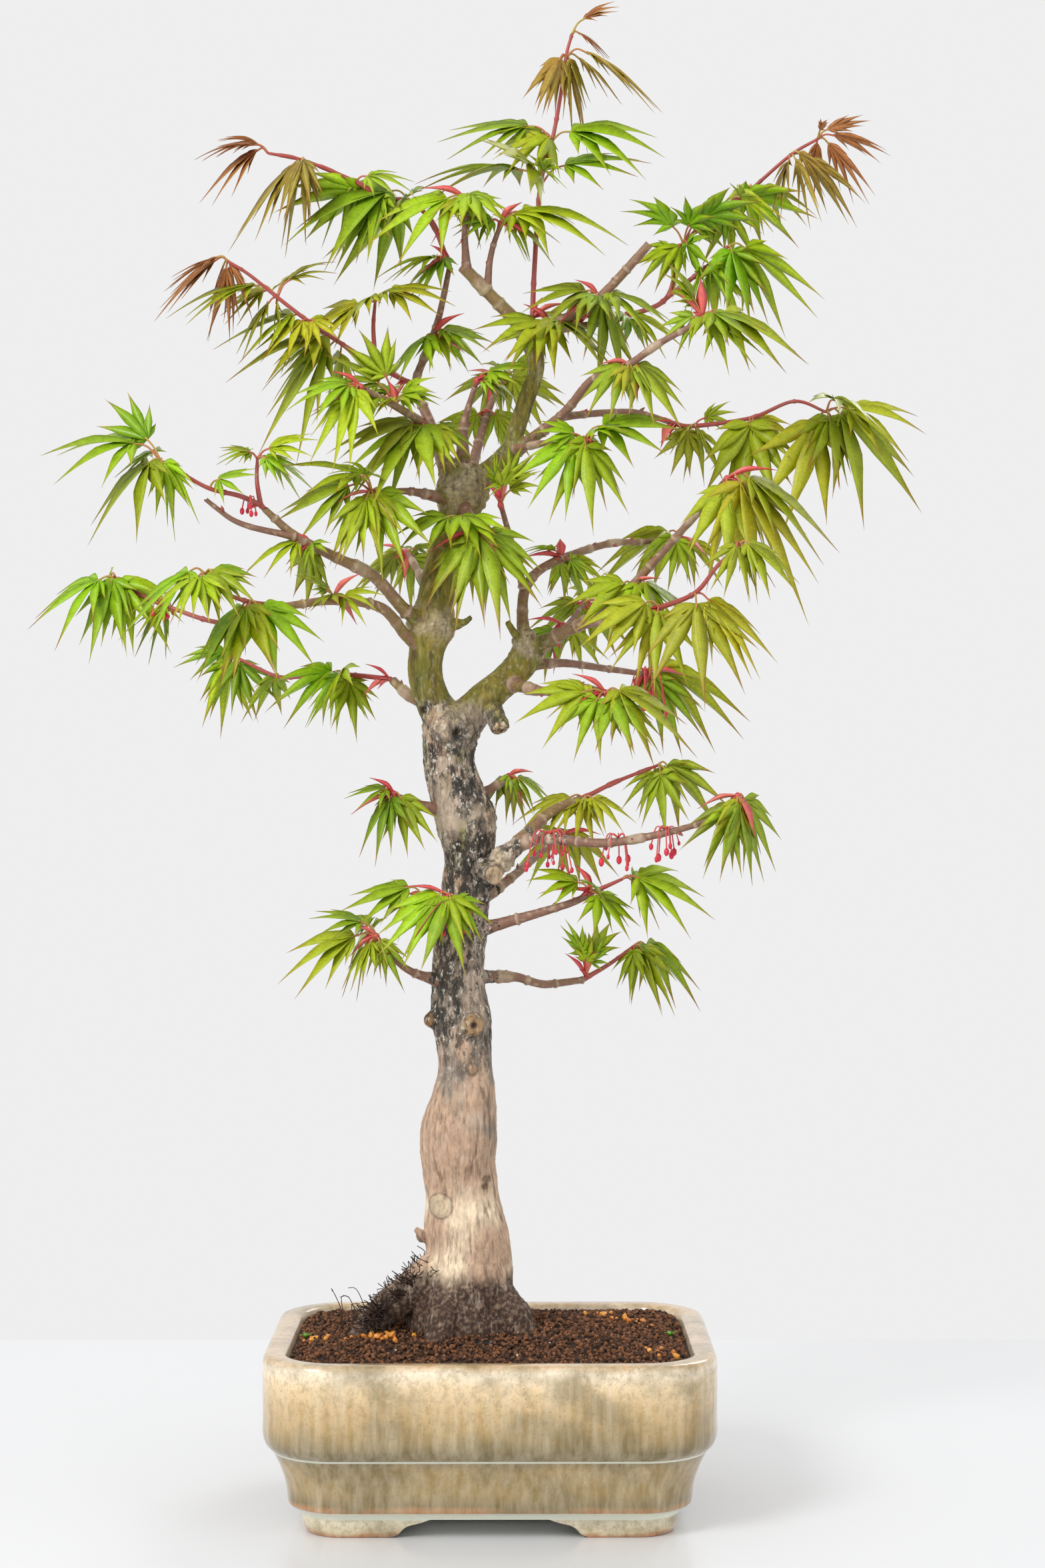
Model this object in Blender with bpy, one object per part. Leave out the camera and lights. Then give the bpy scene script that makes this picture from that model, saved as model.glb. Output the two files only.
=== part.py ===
"""A Japanese maple bonsai in a glazed, footed pot.

Metres, +Z up. The origin is under the middle of the pot, on the surface that it stands on, and the
front of the tree faces -Y. The tables below are in millimetres and are scaled where they are read.
"""

import math

import bmesh
import bpy
from mathutils import Matrix, Vector
from mathutils.bvhtree import BVHTree

MM = 0.001
GAP = 0.3  # between two pieces that touch

# Pot
POT_LENGTH = 220.0
POT_DEPTH = 168.0
CORNER_RADIUS = 35.0
CORNER_STEPS = 4
CORNER_TIGHTENING = 0.8  # how much less the corner radius is, for each millimetre further in
LEAST_CORNER_RADIUS = 6.0
FOOT_HEIGHT = 9.4
FLOOR_TOP = 17.0
DRAIN_RADIUS = 9.0
DRAIN_SPACING = 100.0
DRAIN_SIDES = 16
# How far the wall stands in from the rim's edge, and the height there
OUTER_WALL = (
    (2.0, 86.0),
    (0.6, 85.4),
    (0.0, 84.0),
    (0.0, 47.0),
    (1.5, 43.0),
    (4.5, 40.0),
    (9.0, 30.0),
    (12.0, 21.0),
    (12.2, 15.0),
    (14.5, 12.5),
    (17.5, 10.5),
    (18.5, 8.0),
    (20.0, 2.0),
    (21.0, 0.0),
)
FOOT_WIDTH = 9.0
INNER_WALL = (
    (22.5, FLOOR_TOP),
    (20.5, 22.0),
    (14.5, 40.0),
    (12.0, 50.0),
    (12.0, 84.0),
    (11.4, 85.4),
    (10.0, 86.0),
)
# Half of the cloud-shaped opening between two feet: from the middle out, and the height there
FRONT_FOOT_GAP = ((28.5, 9.2), (33.0, 7.6), (40.0, 5.5), (44.0, 1.5), (47.5, 0.0))
SIDE_FOOT_GAP = ((17.0, 9.2), (21.0, 7.6), (27.0, 5.5), (31.0, 1.5), (34.0, 0.0))

# Drain screens, which lie over the two drain holes
SCREEN_SIDE = 28.0
SCREEN_THICKNESS = 1.0
SCREEN_HOLES = 3  # along each side
SCREEN_BAR = 0.25  # the share of each cell that is bar, on either side of its hole

# Soil
SOIL_BOTTOM = FLOOR_TOP + SCREEN_THICKNESS + 2 * GAP
SOIL_SIDE = ((23.5, SOIL_BOTTOM), (21.0, 24.0), (15.0, 40.6), (12.4, 50.5), (12.4, 82.5))
SOIL_TOP = ((20.0, 84.0), (34.0, 86.0), (50.0, 88.5), (64.0, 90.0))
PEBBLES = {
    "pebble_left": ((-67.0, 6.0, 86.5), (3.4, 2.6, 2.0)),
    "pebble_front": ((-3.0, -36.0, 86.6), (6.2, 4.0, 2.8)),
}

# Wood: x, y, z and radius along the middle of each limb
TRUNK_SIDES = 13
LIMB_SIDES = 7
TWIG_SIDES = 5
THICKEST_TWIG = 6.0  # the radius at its foot
BURIED_TRUNK_POINTS = 5  # the first points of the trunk, which the pocket in the soil is cut round
TRUNK = (
    (-14, 0, 62, 24),
    (-14, 0, 84, 28),
    (-15, 0, 98, 27),
    (-12, 0, 108, 23.5),
    (-11, 1, 118, 22),
    (-11.5, 2, 128, 21),
    (-13.5, 3, 141, 20.2),
    (-14.5, 3, 155, 18.3),
    (-16, 2, 169, 18.2),
    (-16.5, 1, 180, 19.2),
    (-15.5, 0, 191, 18.9),
    (-13.5, -1, 204, 16.4),
    (-13, -1, 218, 13.6),
    (-13.5, 0, 231, 13.8),
    (-15, 1, 243, 15.2),
    (-16.5, 2, 255, 13.8),
    (-16.5, 2, 270, 12.7),
    (-14.5, 2, 289, 12.7),
    (-12.5, 2, 308, 12.4),
    (-11, 1, 325, 12.4),
    (-12, 0, 341, 15),
    (-17.5, 0, 357, 13.8),
    (-21, 0, 371, 12.3),
    (-21, 0, 381, 12.8),
    (-19.5, 0, 391, 14.5),
    (-18, 0, 399, 10),
)
ROOTS = (
    ((-22, -4, 124, 9), (-40, -8, 108, 9.5), (-56, -12, 96, 8), (-70, -16, 80, 4)),
    ((-4, -6, 114, 10), (8, -12, 99, 9), (17, -17, 86, 7), (24, -21, 72, 3.5)),
    ((-18, -8, 114, 11), (-23, -22, 98, 9), (-28, -33, 82, 5)),
    ((-14, 8, 112, 10), (-11, 24, 96, 8), (-8, 38, 80, 4)),
    ((-4, 6, 110, 9), (12, 18, 94, 7), (24, 28, 78, 4)),
    ((-26, 6, 112, 9), (-40, 18, 96, 7), (-52, 28, 80, 4)),
)
LIMBS = {
    "left_stem": (
        (-19, 0, 386, 11),
        (-29, -1, 403, 9),
        (-33, -2, 417, 8.7),
        (-32, -2, 430, 9.2),
        (-30, -1, 441, 12),
        (-28, 0, 453, 9.5),
        (-24, 2, 473, 8.8),
        (-18, 4, 494, 9),
        (-15, 4, 507, 13),
        (-14, 4, 519, 11),
    ),
    "right_stem": (
        (-19, 0, 386, 11),
        (-5, 3, 402, 9),
        (8, 6, 414, 7.8),
        (16, 8, 423, 8),
        (20, 9, 433, 7.6),
    ),
    "top_right": (
        (-10, 4, 510, 7),
        (8, 6, 528, 5),
        (13, 7, 541, 4.6),
        (18, 8, 556, 4.4),
        (23, 8, 572, 4.2),
        (20, 7, 587, 5.2),
        (18, 6, 594, 3.6),
    ),
    "top_right_side": (
        (13, 7, 530, 3.2),
        (36, -8, 546, 2.4),
        (50, -20, 561, 2.1),
        (66, -30, 566, 1.9),
        (82, -38, 576, 1.6),
        (100, -44, 585, 1.3),
    ),
    "top_right_back": ((34, -6, 545, 2), (56, 8, 549, 1.8), (74, 20, 551, 1.6), (91, 25, 547, 1.4)),
    "top_right_low": ((10, 6, 530, 2.2), (28, -14, 531, 1.5), (44, -25, 531, 1.2)),
    "crown_left": ((18, 7, 590, 3.8), (1, 0, 606, 3.2), (-14, -8, 620, 3)),
    "crown_left_inner": ((-2, -1, 608, 2), (0, -6, 626, 1.5), (4, -9, 638, 1.2)),
    "crown_left_outer": ((-12, -7, 618, 2.2), (-13, -12, 636, 1.5), (-12, -14, 649, 1.2)),
    "crown_right": ((18, 8, 590, 3.4), (38, 14, 593, 2.2), (64, 21, 598, 1.7)),
    "crown_stub": ((20, 5, 588, 3.2), (40, -3, 596, 2.7), (56, -8, 606, 2.4), (79, -14, 630, 2.2)),
    "top_left_front": (
        (-15, 0, 516, 4.6),
        (-24, -7, 526, 2.8),
        (-29, -14, 537, 2.4),
        (-43, -28, 545, 2),
        (-61, -42, 553, 1.5),
    ),
    "top_left_mid": ((-14, 4, 517, 4.2), (-14, 6, 540, 2.5), (-11, 3, 552, 1.6), (-8, 0, 561, 1.3)),
    "top_left_stem": (
        (-20, 6, 512, 4.4),
        (-27, 10, 534, 3),
        (-34, 16, 552, 2.6),
        (-39, 20, 564, 2.2),
        (-32, 18, 584, 1.9),
        (-27, 15, 597, 1.7),
        (-23, 12, 614, 1.5),
        (-21, 12, 624, 1.3),
    ),
    "top_back": ((-12, 10, 510, 4), (-8, 34, 532, 2.6), (-2, 62, 557, 1.9), (4, 86, 576, 1.3)),
    "left_upper": (
        (-30, -4, 441, 4.4),
        (-42, -13, 447, 3.4),
        (-58, -20, 464, 3),
        (-77, -28, 473, 2.6),
        (-96, -34, 483, 2.2),
        (-110, -39, 495, 1.7),
    ),
    "left_upper_low": ((-95, -34, 482, 1.7), (-122, -42, 488, 1.4), (-138, -46, 499, 1.1)),
    "left_middle": (
        (-33, -4, 428, 4),
        (-42, -11, 435, 3),
        (-54, -25, 448, 2.6),
        (-75, -46, 450, 2.2),
        (-97, -64, 446, 1.8),
    ),
    "left_lower": ((-28, 3, 400, 3.6), (-40, 12, 405, 2.7), (-50, 22, 414, 2.3)),
    "left_back": ((-28, 5, 452, 3.4), (-35, 34, 466, 2.2), (-44, 72, 483, 1.4)),
    "right_upper": (
        (18, 9, 428, 4.4),
        (16, 13, 446, 2.9),
        (18, 18, 462, 2.7),
        (30, 24, 474, 2.2),
        (60, 44, 486, 1.8),
        (78, 54, 488, 1.5),
        (97, 63, 491, 1.2),
    ),
    "right_upper_twig": ((17, 17, 460, 2), (13, 8, 473, 1.8), (9, -4, 487, 1.5), (6, -12, 497, 1.3)),
    "right_main": (
        (20, 7, 429, 4.6),
        (44, -6, 441, 2.9),
        (59, -16, 450, 2.6),
        (69, -23, 458, 2.3),
        (92, -36, 483, 1.9),
        (113, -47, 507, 1.4),
    ),
    "right_main_low": ((42, -5, 440, 2.4), (63, -30, 443, 2.1), (80, -50, 445, 1.7)),
    "right_thin": ((16, 11, 421, 3.2), (36, 20, 423, 2.2), (59, 37, 421, 1.8), (78, 50, 419, 1.4)),
    "right_low": ((10, 2, 412, 3.4), (26, -20, 407, 2.4), (42, -50, 408, 2), (53, -70, 405, 1.6)),
    "right_back": ((16, 13, 424, 3.2), (26, 50, 430, 2.2), (40, 80, 446, 1.6), (49, 96.5, 458, 1.2)),
    "middle_left": ((-24, -3, 348, 3.6), (-36, -10, 351, 2), (-46, -15, 355, 1.3)),
    "middle_right": ((-8, 4, 354, 3.4), (2, 9, 360, 2), (8, 12, 364, 1.5)),
    "low_right_stem": (
        (-9, -4, 284, 6.4),
        (-6, -8, 303, 5.2),
        (0, -10, 317, 5.4),
        (6, -12, 324, 5.6),
        (17, -14, 334, 3.2),
    ),
    "low_right_upper": ((14, -14, 332, 3.2), (30, -4, 347, 2.7), (45, 8, 353, 2.2)),
    "low_right_lower": (
        (16, -14, 332, 2.8),
        (29, -20, 334, 2.5),
        (55, -34, 332, 2.2),
        (80, -46, 336, 1.8),
        (104, -55, 343, 1.4),
        (118, -61, 353, 1.1),
    ),
    "low_right_front": ((-6, -4, 288, 3.4), (25, -10, 297, 2.2), (43, -16, 303, 1.8), (48, -18, 306, 1.6)),
    "low_right_back": ((-8, 5, 264, 3.4), (14, 13, 263, 2.3), (26, 21, 259, 2.1), (47, 38, 260, 1.7)),
    "low_left": ((-24, -3, 262, 3.4), (-40, -14, 268, 1.9), (-51, -24, 278, 1.5), (-55, -29, 284, 1.2)),
    "low_left_front": ((-22, -4, 298, 3), (-29, -12, 302, 1.6), (-33, -17, 305, 1.2)),
    "low_front": ((-16, -8, 296, 3.2), (-19, -28, 301, 1.7), (-20, -40, 305, 1.2)),
    "low_back": ((-8, 8, 300, 3.4), (14, 36, 316, 2.2), (36, 74, 334, 1.4)),
    "front_low_spur": ((-20, -2, 490, 3), (-16, -20, 492, 1.5)),
    "front_high_spur": ((-14, -2, 502, 3.4), (-8, -24, 487, 1.6)),
    "left_front_spur": ((-20, 0, 504, 3.6), (-40, -20, 506, 1.8), (-56, -32, 504, 1.3)),
}

# This year's growth. Each has its stems, as points along their middles, and its leaves: the stem and
# the point of it that a leaf grows from, and the way from there to the tip of the leaf.
STEM_RADIUS = 1.1
STEM_SIDES = 5
GROWTH = {
    "leader_shoot": (
        (((21, 8, 597), (22, 8, 622), (25, 8, 664), (31, 7, 687), (35, 6, 708), (38, 5, 729), (41, 4, 740)),),
        (
            (0, 6, (23, -2, 14)),
            (0, 6, (17, 5, -9)),
            (0, 5, (-14, -10, -28)),
            (0, 5, (8, 12, -34)),
            (0, 5, (46, -4, -26)),
            (0, 3, (-54, 6, 2)),
            (0, 3, (54, -6, -5)),
            (0, 3, (-8, -26, -20)),
            (0, 2, (-62, 12, 6)),
            (0, 2, (52, -10, 10)),
        ),
    ),
    "far_right_shoot": (
        (
            (
                (68, 22, 600),
                (90, 28, 611),
                (99, 30, 639),
                (122, 32, 659),
                (134, 32, 668),
                (154, 30, 685),
                (168, 28, 693),
            ),
            ((90, 28, 611), (110, 24, 626), (121, 20, 636)),
        ),
        (
            (0, 6, (24, -4, 9)),
            (0, 6, (34, 4, -6)),
            (0, 6, (24, 8, -26)),
            (0, 5, (14, -10, -34)),
            (0, 5, (34, 10, -28)),
            (0, 4, (29, 20, -12)),
            (0, 3, (42, -8, -10)),
            (0, 3, (4, 12, -28)),
            (0, 2, (-28, -18, 22)),
            (0, 2, (36, -22, 20)),
            (0, 2, (-22, -6, -20)),
            (0, 2, (8, -18, -24)),
            (1, 2, (10, -8, -36)),
            (1, 2, (42, 6, -32)),
            (1, 1, (-8, -14, -24)),
            (1, 1, (18, 14, -24)),
            (0, 0, (28, -6, -14)),
            (0, 0, (12, 18, -12)),
        ),
    ),
    "upper_left_shoot": (
        (
            (
                (-22, 13, 627),
                (-30, 16, 647),
                (-41, 18, 658),
                (-55, 18, 660),
                (-69, 16, 668),
                (-95, 13, 678),
                (-113, 10, 681),
            ),
        ),
        (
            (0, 6, (-34, -4, -3)),
            (0, 6, (-26, 8, 6)),
            (0, 6, (-30, 2, -20)),
            (0, 5, (-32, -6, -38)),
            (0, 5, (-8, 10, -40)),
            (0, 4, (28, -10, -6)),
            (0, 4, (-14, 18, -24)),
            (0, 3, (-52, 10, -4)),
            (0, 3, (-22, -12, -34)),
            (0, 2, (-60, -8, -20)),
            (0, 2, (-32, 20, -30)),
            (0, 0, (-32, -8, -8)),
            (0, 0, (-12, -18, -20)),
        ),
    ),
    "second_left_shoot": (
        (
            (
                (-43, 14, 566),
                (-58, 2, 572),
                (-74, -7, 581),
                (-90, -13, 591),
                (-106, -16, 603),
                (-120, -18, 614),
                (-130, -20, 620),
            ),
            ((-58, 2, 572), (-59, -2, 590), (-58, -4, 603)),
        ),
        (
            (0, 6, (-33, -4, -24)),
            (0, 6, (-6, 8, -33)),
            (0, 6, (-30, 8, -10)),
            (0, 4, (28, 6, 20)),
            (0, 4, (-48, -6, -8)),
            (0, 4, (-20, 12, -24)),
            (0, 3, (-42, 6, -10)),
            (0, 3, (-20, -14, -18)),
            (0, 2, (-46, -14, -16)),
            (0, 2, (-36, 10, -42)),
            (1, 2, (39, -8, 0)),
            (1, 2, (-38, 6, -20)),
        ),
    ),
    "far_right_middle_shoot": (
        (((94, 26, 546), (104, 27, 545), (133, 26, 549), (155, 22, 557), (171, 18, 551)),),
        (
            (0, 1, (-12, -10, -14)),
            (0, 1, (22, 4, 8)),
            (0, 1, (8, 20, -26)),
            (0, 2, (-4, -12, -48)),
            (0, 2, (20, 16, -14)),
            (0, 4, (-22, -12, -56)),
            (0, 4, (46.5, -4, -10)),
            (0, 4, (40, 8, -42)),
            (0, 4, (4, -16, -38)),
        ),
    ),
    "left_upper_shoot": (
        (
            ((-112, -40, 497), (-122, -45, 501), (-136, -50, 504), (-149, -54, 511), (-159, -56, 517)),
            ((-112, -40, 497), (-114, -38, 509), (-114, -36, 520)),
        ),
        (
            (0, 4, (-51, -4, 2)),
            (0, 4, (-28, 6, 30)),
            (0, 4, (-28, -12, -34)),
            (0, 4, (6, 6, -32)),
            (0, 2, (24, -12, 4)),
            (1, 2, (29, -8, 8)),
            (1, 2, (26, 8, -12)),
            (1, 2, (-20, 14, 4)),
        ),
    ),
    "left_middle_shoot": (
        (
            ((-100, -66, 446), (-113, -75, 447), (-125, -84, 451), (-133, -92, 459)),
            ((-100, -66, 446), (-126, -62, 438), (-154, -50, 446), (-170, -47, 453), (-182, -44, 461)),
        ),
        (
            (0, 3, (22, -8, -8)),
            (0, 3, (-36, -6, -28)),
            (0, 3, (-12, -28, -22)),
            (0, 1, (-24, -8, -32)),
            (0, 1, (-4, -18, -34)),
            (0, 1, (24, -8, -28)),
            (1, 4, (-35.5, -6, -22)),
            (1, 4, (-8, -14, -34)),
            (1, 4, (22, -4, -28)),
            (1, 2, (-18, 20, -18)),
        ),
    ),
    "left_lower_shoot": (
        (((-52, 24, 415), (-75, 42, 418), (-94, 54, 418), (-112, 66, 418), (-130, 78, 426), (-138, 83, 430)),),
        (
            (0, 5, (-27, 6, -6)),
            (0, 5, (-7, 12, -38)),
            (0, 5, (12, -6, -32)),
            (0, 3, (-14, 24, -20)),
            (0, 1, (-38, -6, -14)),
            (0, 1, (-8, 22, -26)),
            (0, 1, (6, -10, -30)),
        ),
    ),
    "right_low_shoot": (
        (((82, -52, 446), (98, -67, 452), (108, -73, 464), (118, -78, 474)),),
        (
            (0, 0, (-38, -10, -18)),
            (0, 0, (-6, -16, -36)),
            (0, 1, (30, -8, -34)),
            (0, 1, (2, -18, -46)),
            (0, 3, (24, -8, -20)),
            (0, 3, (-6, -20, -26)),
        ),
    ),
    "low_right_upper_shoot": (
        (((47, 9, 354), (63, 21, 362), (86, 38, 371)),),
        (
            (0, 0, (-30, -14, -16)),
            (0, 0, (-4, -20, -20)),
            (0, 0, (18, -14, -14)),
            (0, 2, (27, 6, -28)),
            (0, 2, (6, -10, -34)),
            (0, 2, (-8, 18, -24)),
        ),
    ),
    "low_right_back_shoot": (
        (((49, 40, 261), (62, 49, 268), (75, 56, 277)),),
        (
            (0, 0, (-9, -6, 32)),
            (0, 0, (14, 6, 30)),
            (0, 2, (31, 6, -28)),
            (0, 2, (10, -8, -26)),
        ),
    ),
    "low_right_front_shoot": (
        (((50, -18, 307), (65, -24, 314)),),
        (
            (0, 0, (-31, -8, 6)),
            (0, 0, (14, -18, -18)),
            (0, 1, (41, -6, -16)),
            (0, 1, (22, 14, -18)),
        ),
    ),
}

# Leaves in small sprays that grow straight from the wood: where, and the way to the tip of each leaf
SPRAYS = {
    "spray_top_right_end": ((103, -46, 587), ((-20, -8, 28), (-20, 8, -10), (22, -10, -22), (48, 2, -20))),
    "spray_crown_inner": ((5, -10, 641), ((55, -8, -8), (30, -22, -4), (-24, 12, -4))),
    "spray_crown_outer": ((-12, -15, 652), ((-40, -8, -22), (6, -28, -18), (10, 20, -14))),
    "spray_upright": ((-30, 17, 589), ((28, -18, -8), (-14, -20, -22))),
    "spray_left_fan": ((-47, -31, 547), ((-34, -10, 22), (-16, -16, 36), (-36, -18, -6), (20, -20, 6))),
    "spray_left_star": ((-30, -16, 538), ((-40, -24, -16), (-20, -34, -34), (6, -30, -24))),
    "spray_left_end": ((-63, -44, 554), ((-32, -12, -12), (-12, -18, -36))),
    "spray_centre": ((-7, -1, 564), ((27, -12, 4), (20, 14, -8))),
    "spray_crown_front": ((30, 5, 592), ((-30, -26, -14), (-8, -34, -24), (20, -32, -22))),
    "spray_stub": ((54, -7, 605), ((-34, -14, -8), (12, 8, -42), (32, -18, -16))),
    "spray_right_side": ((68, -31, 567), ((-18, -12, -24), (20, -10, -26))),
    "spray_right_low": ((46, -26, 531), ((46, -10, 2), (-24, -6, 4), (-24, -16, -30), (4, -14, -38))),
    "spray_right_upper_end": ((99, 64, 492), ((-6, -12, -28), (-36, 12, -22), (20, 16, -22))),
    "spray_right_main_end": ((115, -48, 509), ((50, -6, -34), (30, -16, -58), (10, 12, -50))),
    "spray_right_main": ((70, -24, 459), ((34, -16, -28), (-24, -14, -20))),
    "spray_right_thin": ((80, 51, 420), ((20, 6, -36), (46, 10, -30))),
    "spray_right_front": ((55, -73, 404), ((-40, -12, -14), (-16, -18, -28), (34, -10, -24), (12, -24, -28))),
    "spray_left_front": ((-58, -34, 504), ((-14, -12, -32), (16, -16, -36), (-40, -8, 12), (-46, 6, -14))),
    "spray_front_low": ((-15, -22, 492), ((-28, -18, -14), (18, -22, -14))),
    "spray_front_high": ((-7, -27, 485), ((-10, -14, -38), (12, -18, -40), (24, -8, -26))),
    "spray_inner_upright": ((5, -14, 500), ((-4, -12, 26), (14, -8, 31), (4, -26, 20))),
    "spray_inner_right": ((36, 28, 477), ((-16, -18, 4), (18, -14, -12), (10, 16, -20))),
    "spray_left_upper": ((-88, -31, 478), ((-28, -16, -14), (-4, 16, -28))),
    "spray_left_middle": ((-76, -47, 451), ((22, -16, -6), (-14, -12, 12))),
    "spray_middle_left": ((-48, -16, 356), ((-23, -6, -2), (-9, -12, -27), (14, -14, -27))),
    "spray_middle_right": ((9, 13, 365), ((20, -6, -16), (4, 18, -22))),
    "spray_low_right_end": ((119, -62, 355), ((-15, -6, -32), (5, -12, -38), (16, 8, -32))),
    "spray_low_left": ((-56, -30, 286), ((-46, -4, -18), (-12, -14, -24), (12, 8, -24), (-30, -10, 10))),
    "spray_low_left_front": ((-34, -18, 306), ((-36, -6, -6), (-10, -14, -18))),
    "spray_low_front": ((-20, -42, 306), ((-28, -8, -26), (-8, -18, -32), (14, -10, -20))),
    "spray_low_back": ((38, 77, 335), ((18, 18, -24), (-14, 20, -24), (6, 28, -2))),
    "spray_left_back": ((-45, 75, 484), ((-26, 14, -22), (10, 22, -26), (-8, 26, 4))),
    "spray_top_back": ((5, 89, 578), ((-22, 24, -14), (22, 26, -16), (0, 31, 12))),
    "spray_top_back_inner": ((-3, 60, 557), ((-24, 10, -22), (20, 14, -20))),
    "spray_right_back": ((50, 99.5, 460), ((16, 18, -26), (-22, 14, -22), (8, 19, 16))),
    "spray_right_back_inner": ((38, 78, 446), ((-22, 12, -22), (20, 8, -22))),
    "spray_crown_right": ((42, 15, 594), ((20, 20, 16), (-10, 26, 8))),
}

# Leaf: the angle of each lobe from the middle one, in degrees, and its share of the leaf's length
LOBES = ((-78, 0.56), (-40, 0.86), (0, 1.0), (40, 0.86), (78, 0.56))
NOTCH_DEPTH = 0.24
PETIOLE_SHARE = 0.2
PETIOLE_RADIUS = 0.6
BLADE_THICKNESS = 1.1
BLADE_DROOP = 0.16
HUB_RADIUS = 1.4  # the knob that the leaves of a spray grow from
PEG_RADIUS = 0.9  # the foot that reaches from a shoot or spray back to its limb
PEG_INSET = 0.4  # how far the foot starts inside the shoot or knob
PETIOLE_LIFT = 0.1  # how far the top of the petiole rises, as a share of the leaf's length
THICK_PLACE = 0.09  # where the blade is thickest, as a share of its length
LOBE_DROOP_ANGLE = 60.0  # an outer lobe at this angle droops twice as far as one beside the middle

BARK = ((0.42, 0.35, 0.26), 0.8)
LEAF_GREEN = ((0.40, 0.52, 0.07), 0.5)
LEAF_YOUNG = ((0.55, 0.30, 0.14), 0.5)


def clear_scene():
    for obj in list(bpy.data.objects):
        bpy.data.objects.remove(obj)


def material(name, colour, roughness):
    made = bpy.data.materials.new(name)
    made.use_nodes = True
    shader = made.node_tree.nodes["Principled BSDF"]
    shader.inputs["Base Color"].default_value = (*colour, 1.0)
    shader.inputs["Roughness"].default_value = roughness
    made.diffuse_color = (*colour, 1.0)
    return made


def add_object(name, mesh, finish=None):
    obj = bpy.data.objects.new(name, mesh)
    bpy.context.scene.collection.objects.link(obj)
    if finish is not None:
        mesh.materials.append(finish)
    return obj


def mesh_of(name, points, faces):
    """A mesh in metres from points in millimetres, with its faces turned outwards."""
    mesh = bpy.data.meshes.new(name)
    mesh.from_pydata([Vector(p) * MM for p in points], [], faces)
    shape = bmesh.new()
    shape.from_mesh(mesh)
    bmesh.ops.recalc_face_normals(shape, faces=shape.faces)
    shape.to_mesh(mesh)
    shape.free()
    return mesh


def joined(shapes):
    """Several (points, faces) shapes as one."""
    points = []
    faces = []
    for shape_points, shape_faces in shapes:
        start = len(points)
        points += shape_points
        faces += [tuple(start + i for i in face) for face in shape_faces]
    return points, faces


def islands(shape):
    """The connected groups of faces of a bmesh."""
    left = set(shape.faces)
    while left:
        group = [left.pop()]
        for face in group:
            near = {other for edge in face.edges for other in edge.link_faces} & left
            left -= near
            group += near
        yield group


def fill_cavities(mesh):
    """Removes the inward-facing surfaces of spaces that joined shapes have sealed off between them."""
    shape = bmesh.new()
    shape.from_mesh(mesh)
    bmesh.ops.triangulate(shape, faces=shape.faces)
    sealed = []
    for group in islands(shape):
        corners = [[v.co for v in face.verts] for face in group]
        if sum(a.dot(b.cross(c)) for a, b, c in corners) < 0:
            sealed += group
    bmesh.ops.delete(shape, geom=sealed, context="FACES")
    shape.to_mesh(mesh)
    shape.free()


def combine(obj, shapes, operation):
    """Joins shapes to the object's mesh, or cuts them from it, and keeps the result as its mesh."""
    tool = add_object(obj.name + "_tool", mesh_of(obj.name + "_tool", *joined(shapes)))
    step = obj.modifiers.new(operation.title(), "BOOLEAN")
    step.operation = operation
    step.solver = "EXACT"
    step.use_self = True
    step.object = tool
    graph = bpy.context.evaluated_depsgraph_get()
    result = bpy.data.meshes.new_from_object(obj.evaluated_get(graph))
    obj.modifiers.remove(step)
    fill_cavities(result)
    spare = obj.data
    obj.data = result
    bpy.data.meshes.remove(spare)
    bpy.data.objects.remove(tool)


def shade(obj, degrees=40):
    obj.data.shade_smooth()
    obj.data.set_sharp_from_angle(angle=math.radians(degrees))


def loft(rings):
    """A closed (points, faces) shape through rings that have the same number of points."""
    count = len(rings[0])
    points = [point for ring in rings for point in ring]
    faces = []
    for i in range(len(rings) - 1):
        for k in range(count):
            after = (k + 1) % count
            faces.append((i * count + k, i * count + after, (i + 1) * count + after, (i + 1) * count + k))
    faces.append(tuple(reversed(range(count))))
    faces.append(tuple(range((len(rings) - 1) * count, len(rings) * count)))
    return points, faces


def rounded_rectangle(inset, height):
    """A level ring round the pot, this far in from the rim's edge."""
    radius = max(CORNER_RADIUS - CORNER_TIGHTENING * inset, LEAST_CORNER_RADIUS)
    across = POT_LENGTH / 2 - inset - radius
    along = POT_DEPTH / 2 - inset - radius
    ring = []
    for quarter, (side_x, side_y) in enumerate(((1, 1), (-1, 1), (-1, -1), (1, -1))):
        for i in range(CORNER_STEPS + 1):
            angle = math.radians(90 * quarter + 90 * i / CORNER_STEPS)
            x = side_x * across + radius * math.cos(angle)
            y = side_y * along + radius * math.sin(angle)
            ring.append((x, y, height))
    return ring


def tube(line, sides, spare=0.0):
    """A tapered tube along (x, y, z, radius) points, made wider all round by spare."""
    middle = [Vector(point[:3]) for point in line]
    rings = []
    across = Vector((0.0, -1.0, 0.0))
    for i, point in enumerate(middle):
        ahead = middle[min(i + 1, len(middle) - 1)] - middle[max(i - 1, 0)]
        ahead.normalize()
        across = (across - ahead * across.dot(ahead)).normalized()
        up = ahead.cross(across)
        radius = line[i][3] + spare
        ring = []
        for k in range(sides):
            angle = 2 * math.pi * (k + 0.5) / sides
            ring.append(tuple(point + (across * math.cos(angle) + up * math.sin(angle)) * radius))
        rings.append(ring)
    return loft(rings)


def box(low, high):
    corners = [(x, y, z) for x in (low[0], high[0]) for y in (low[1], high[1]) for z in (low[2], high[2])]
    faces = [(0, 1, 3, 2), (4, 6, 7, 5), (0, 4, 5, 1), (2, 3, 7, 6), (0, 2, 6, 4), (1, 5, 7, 3)]
    return corners, faces


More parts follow.
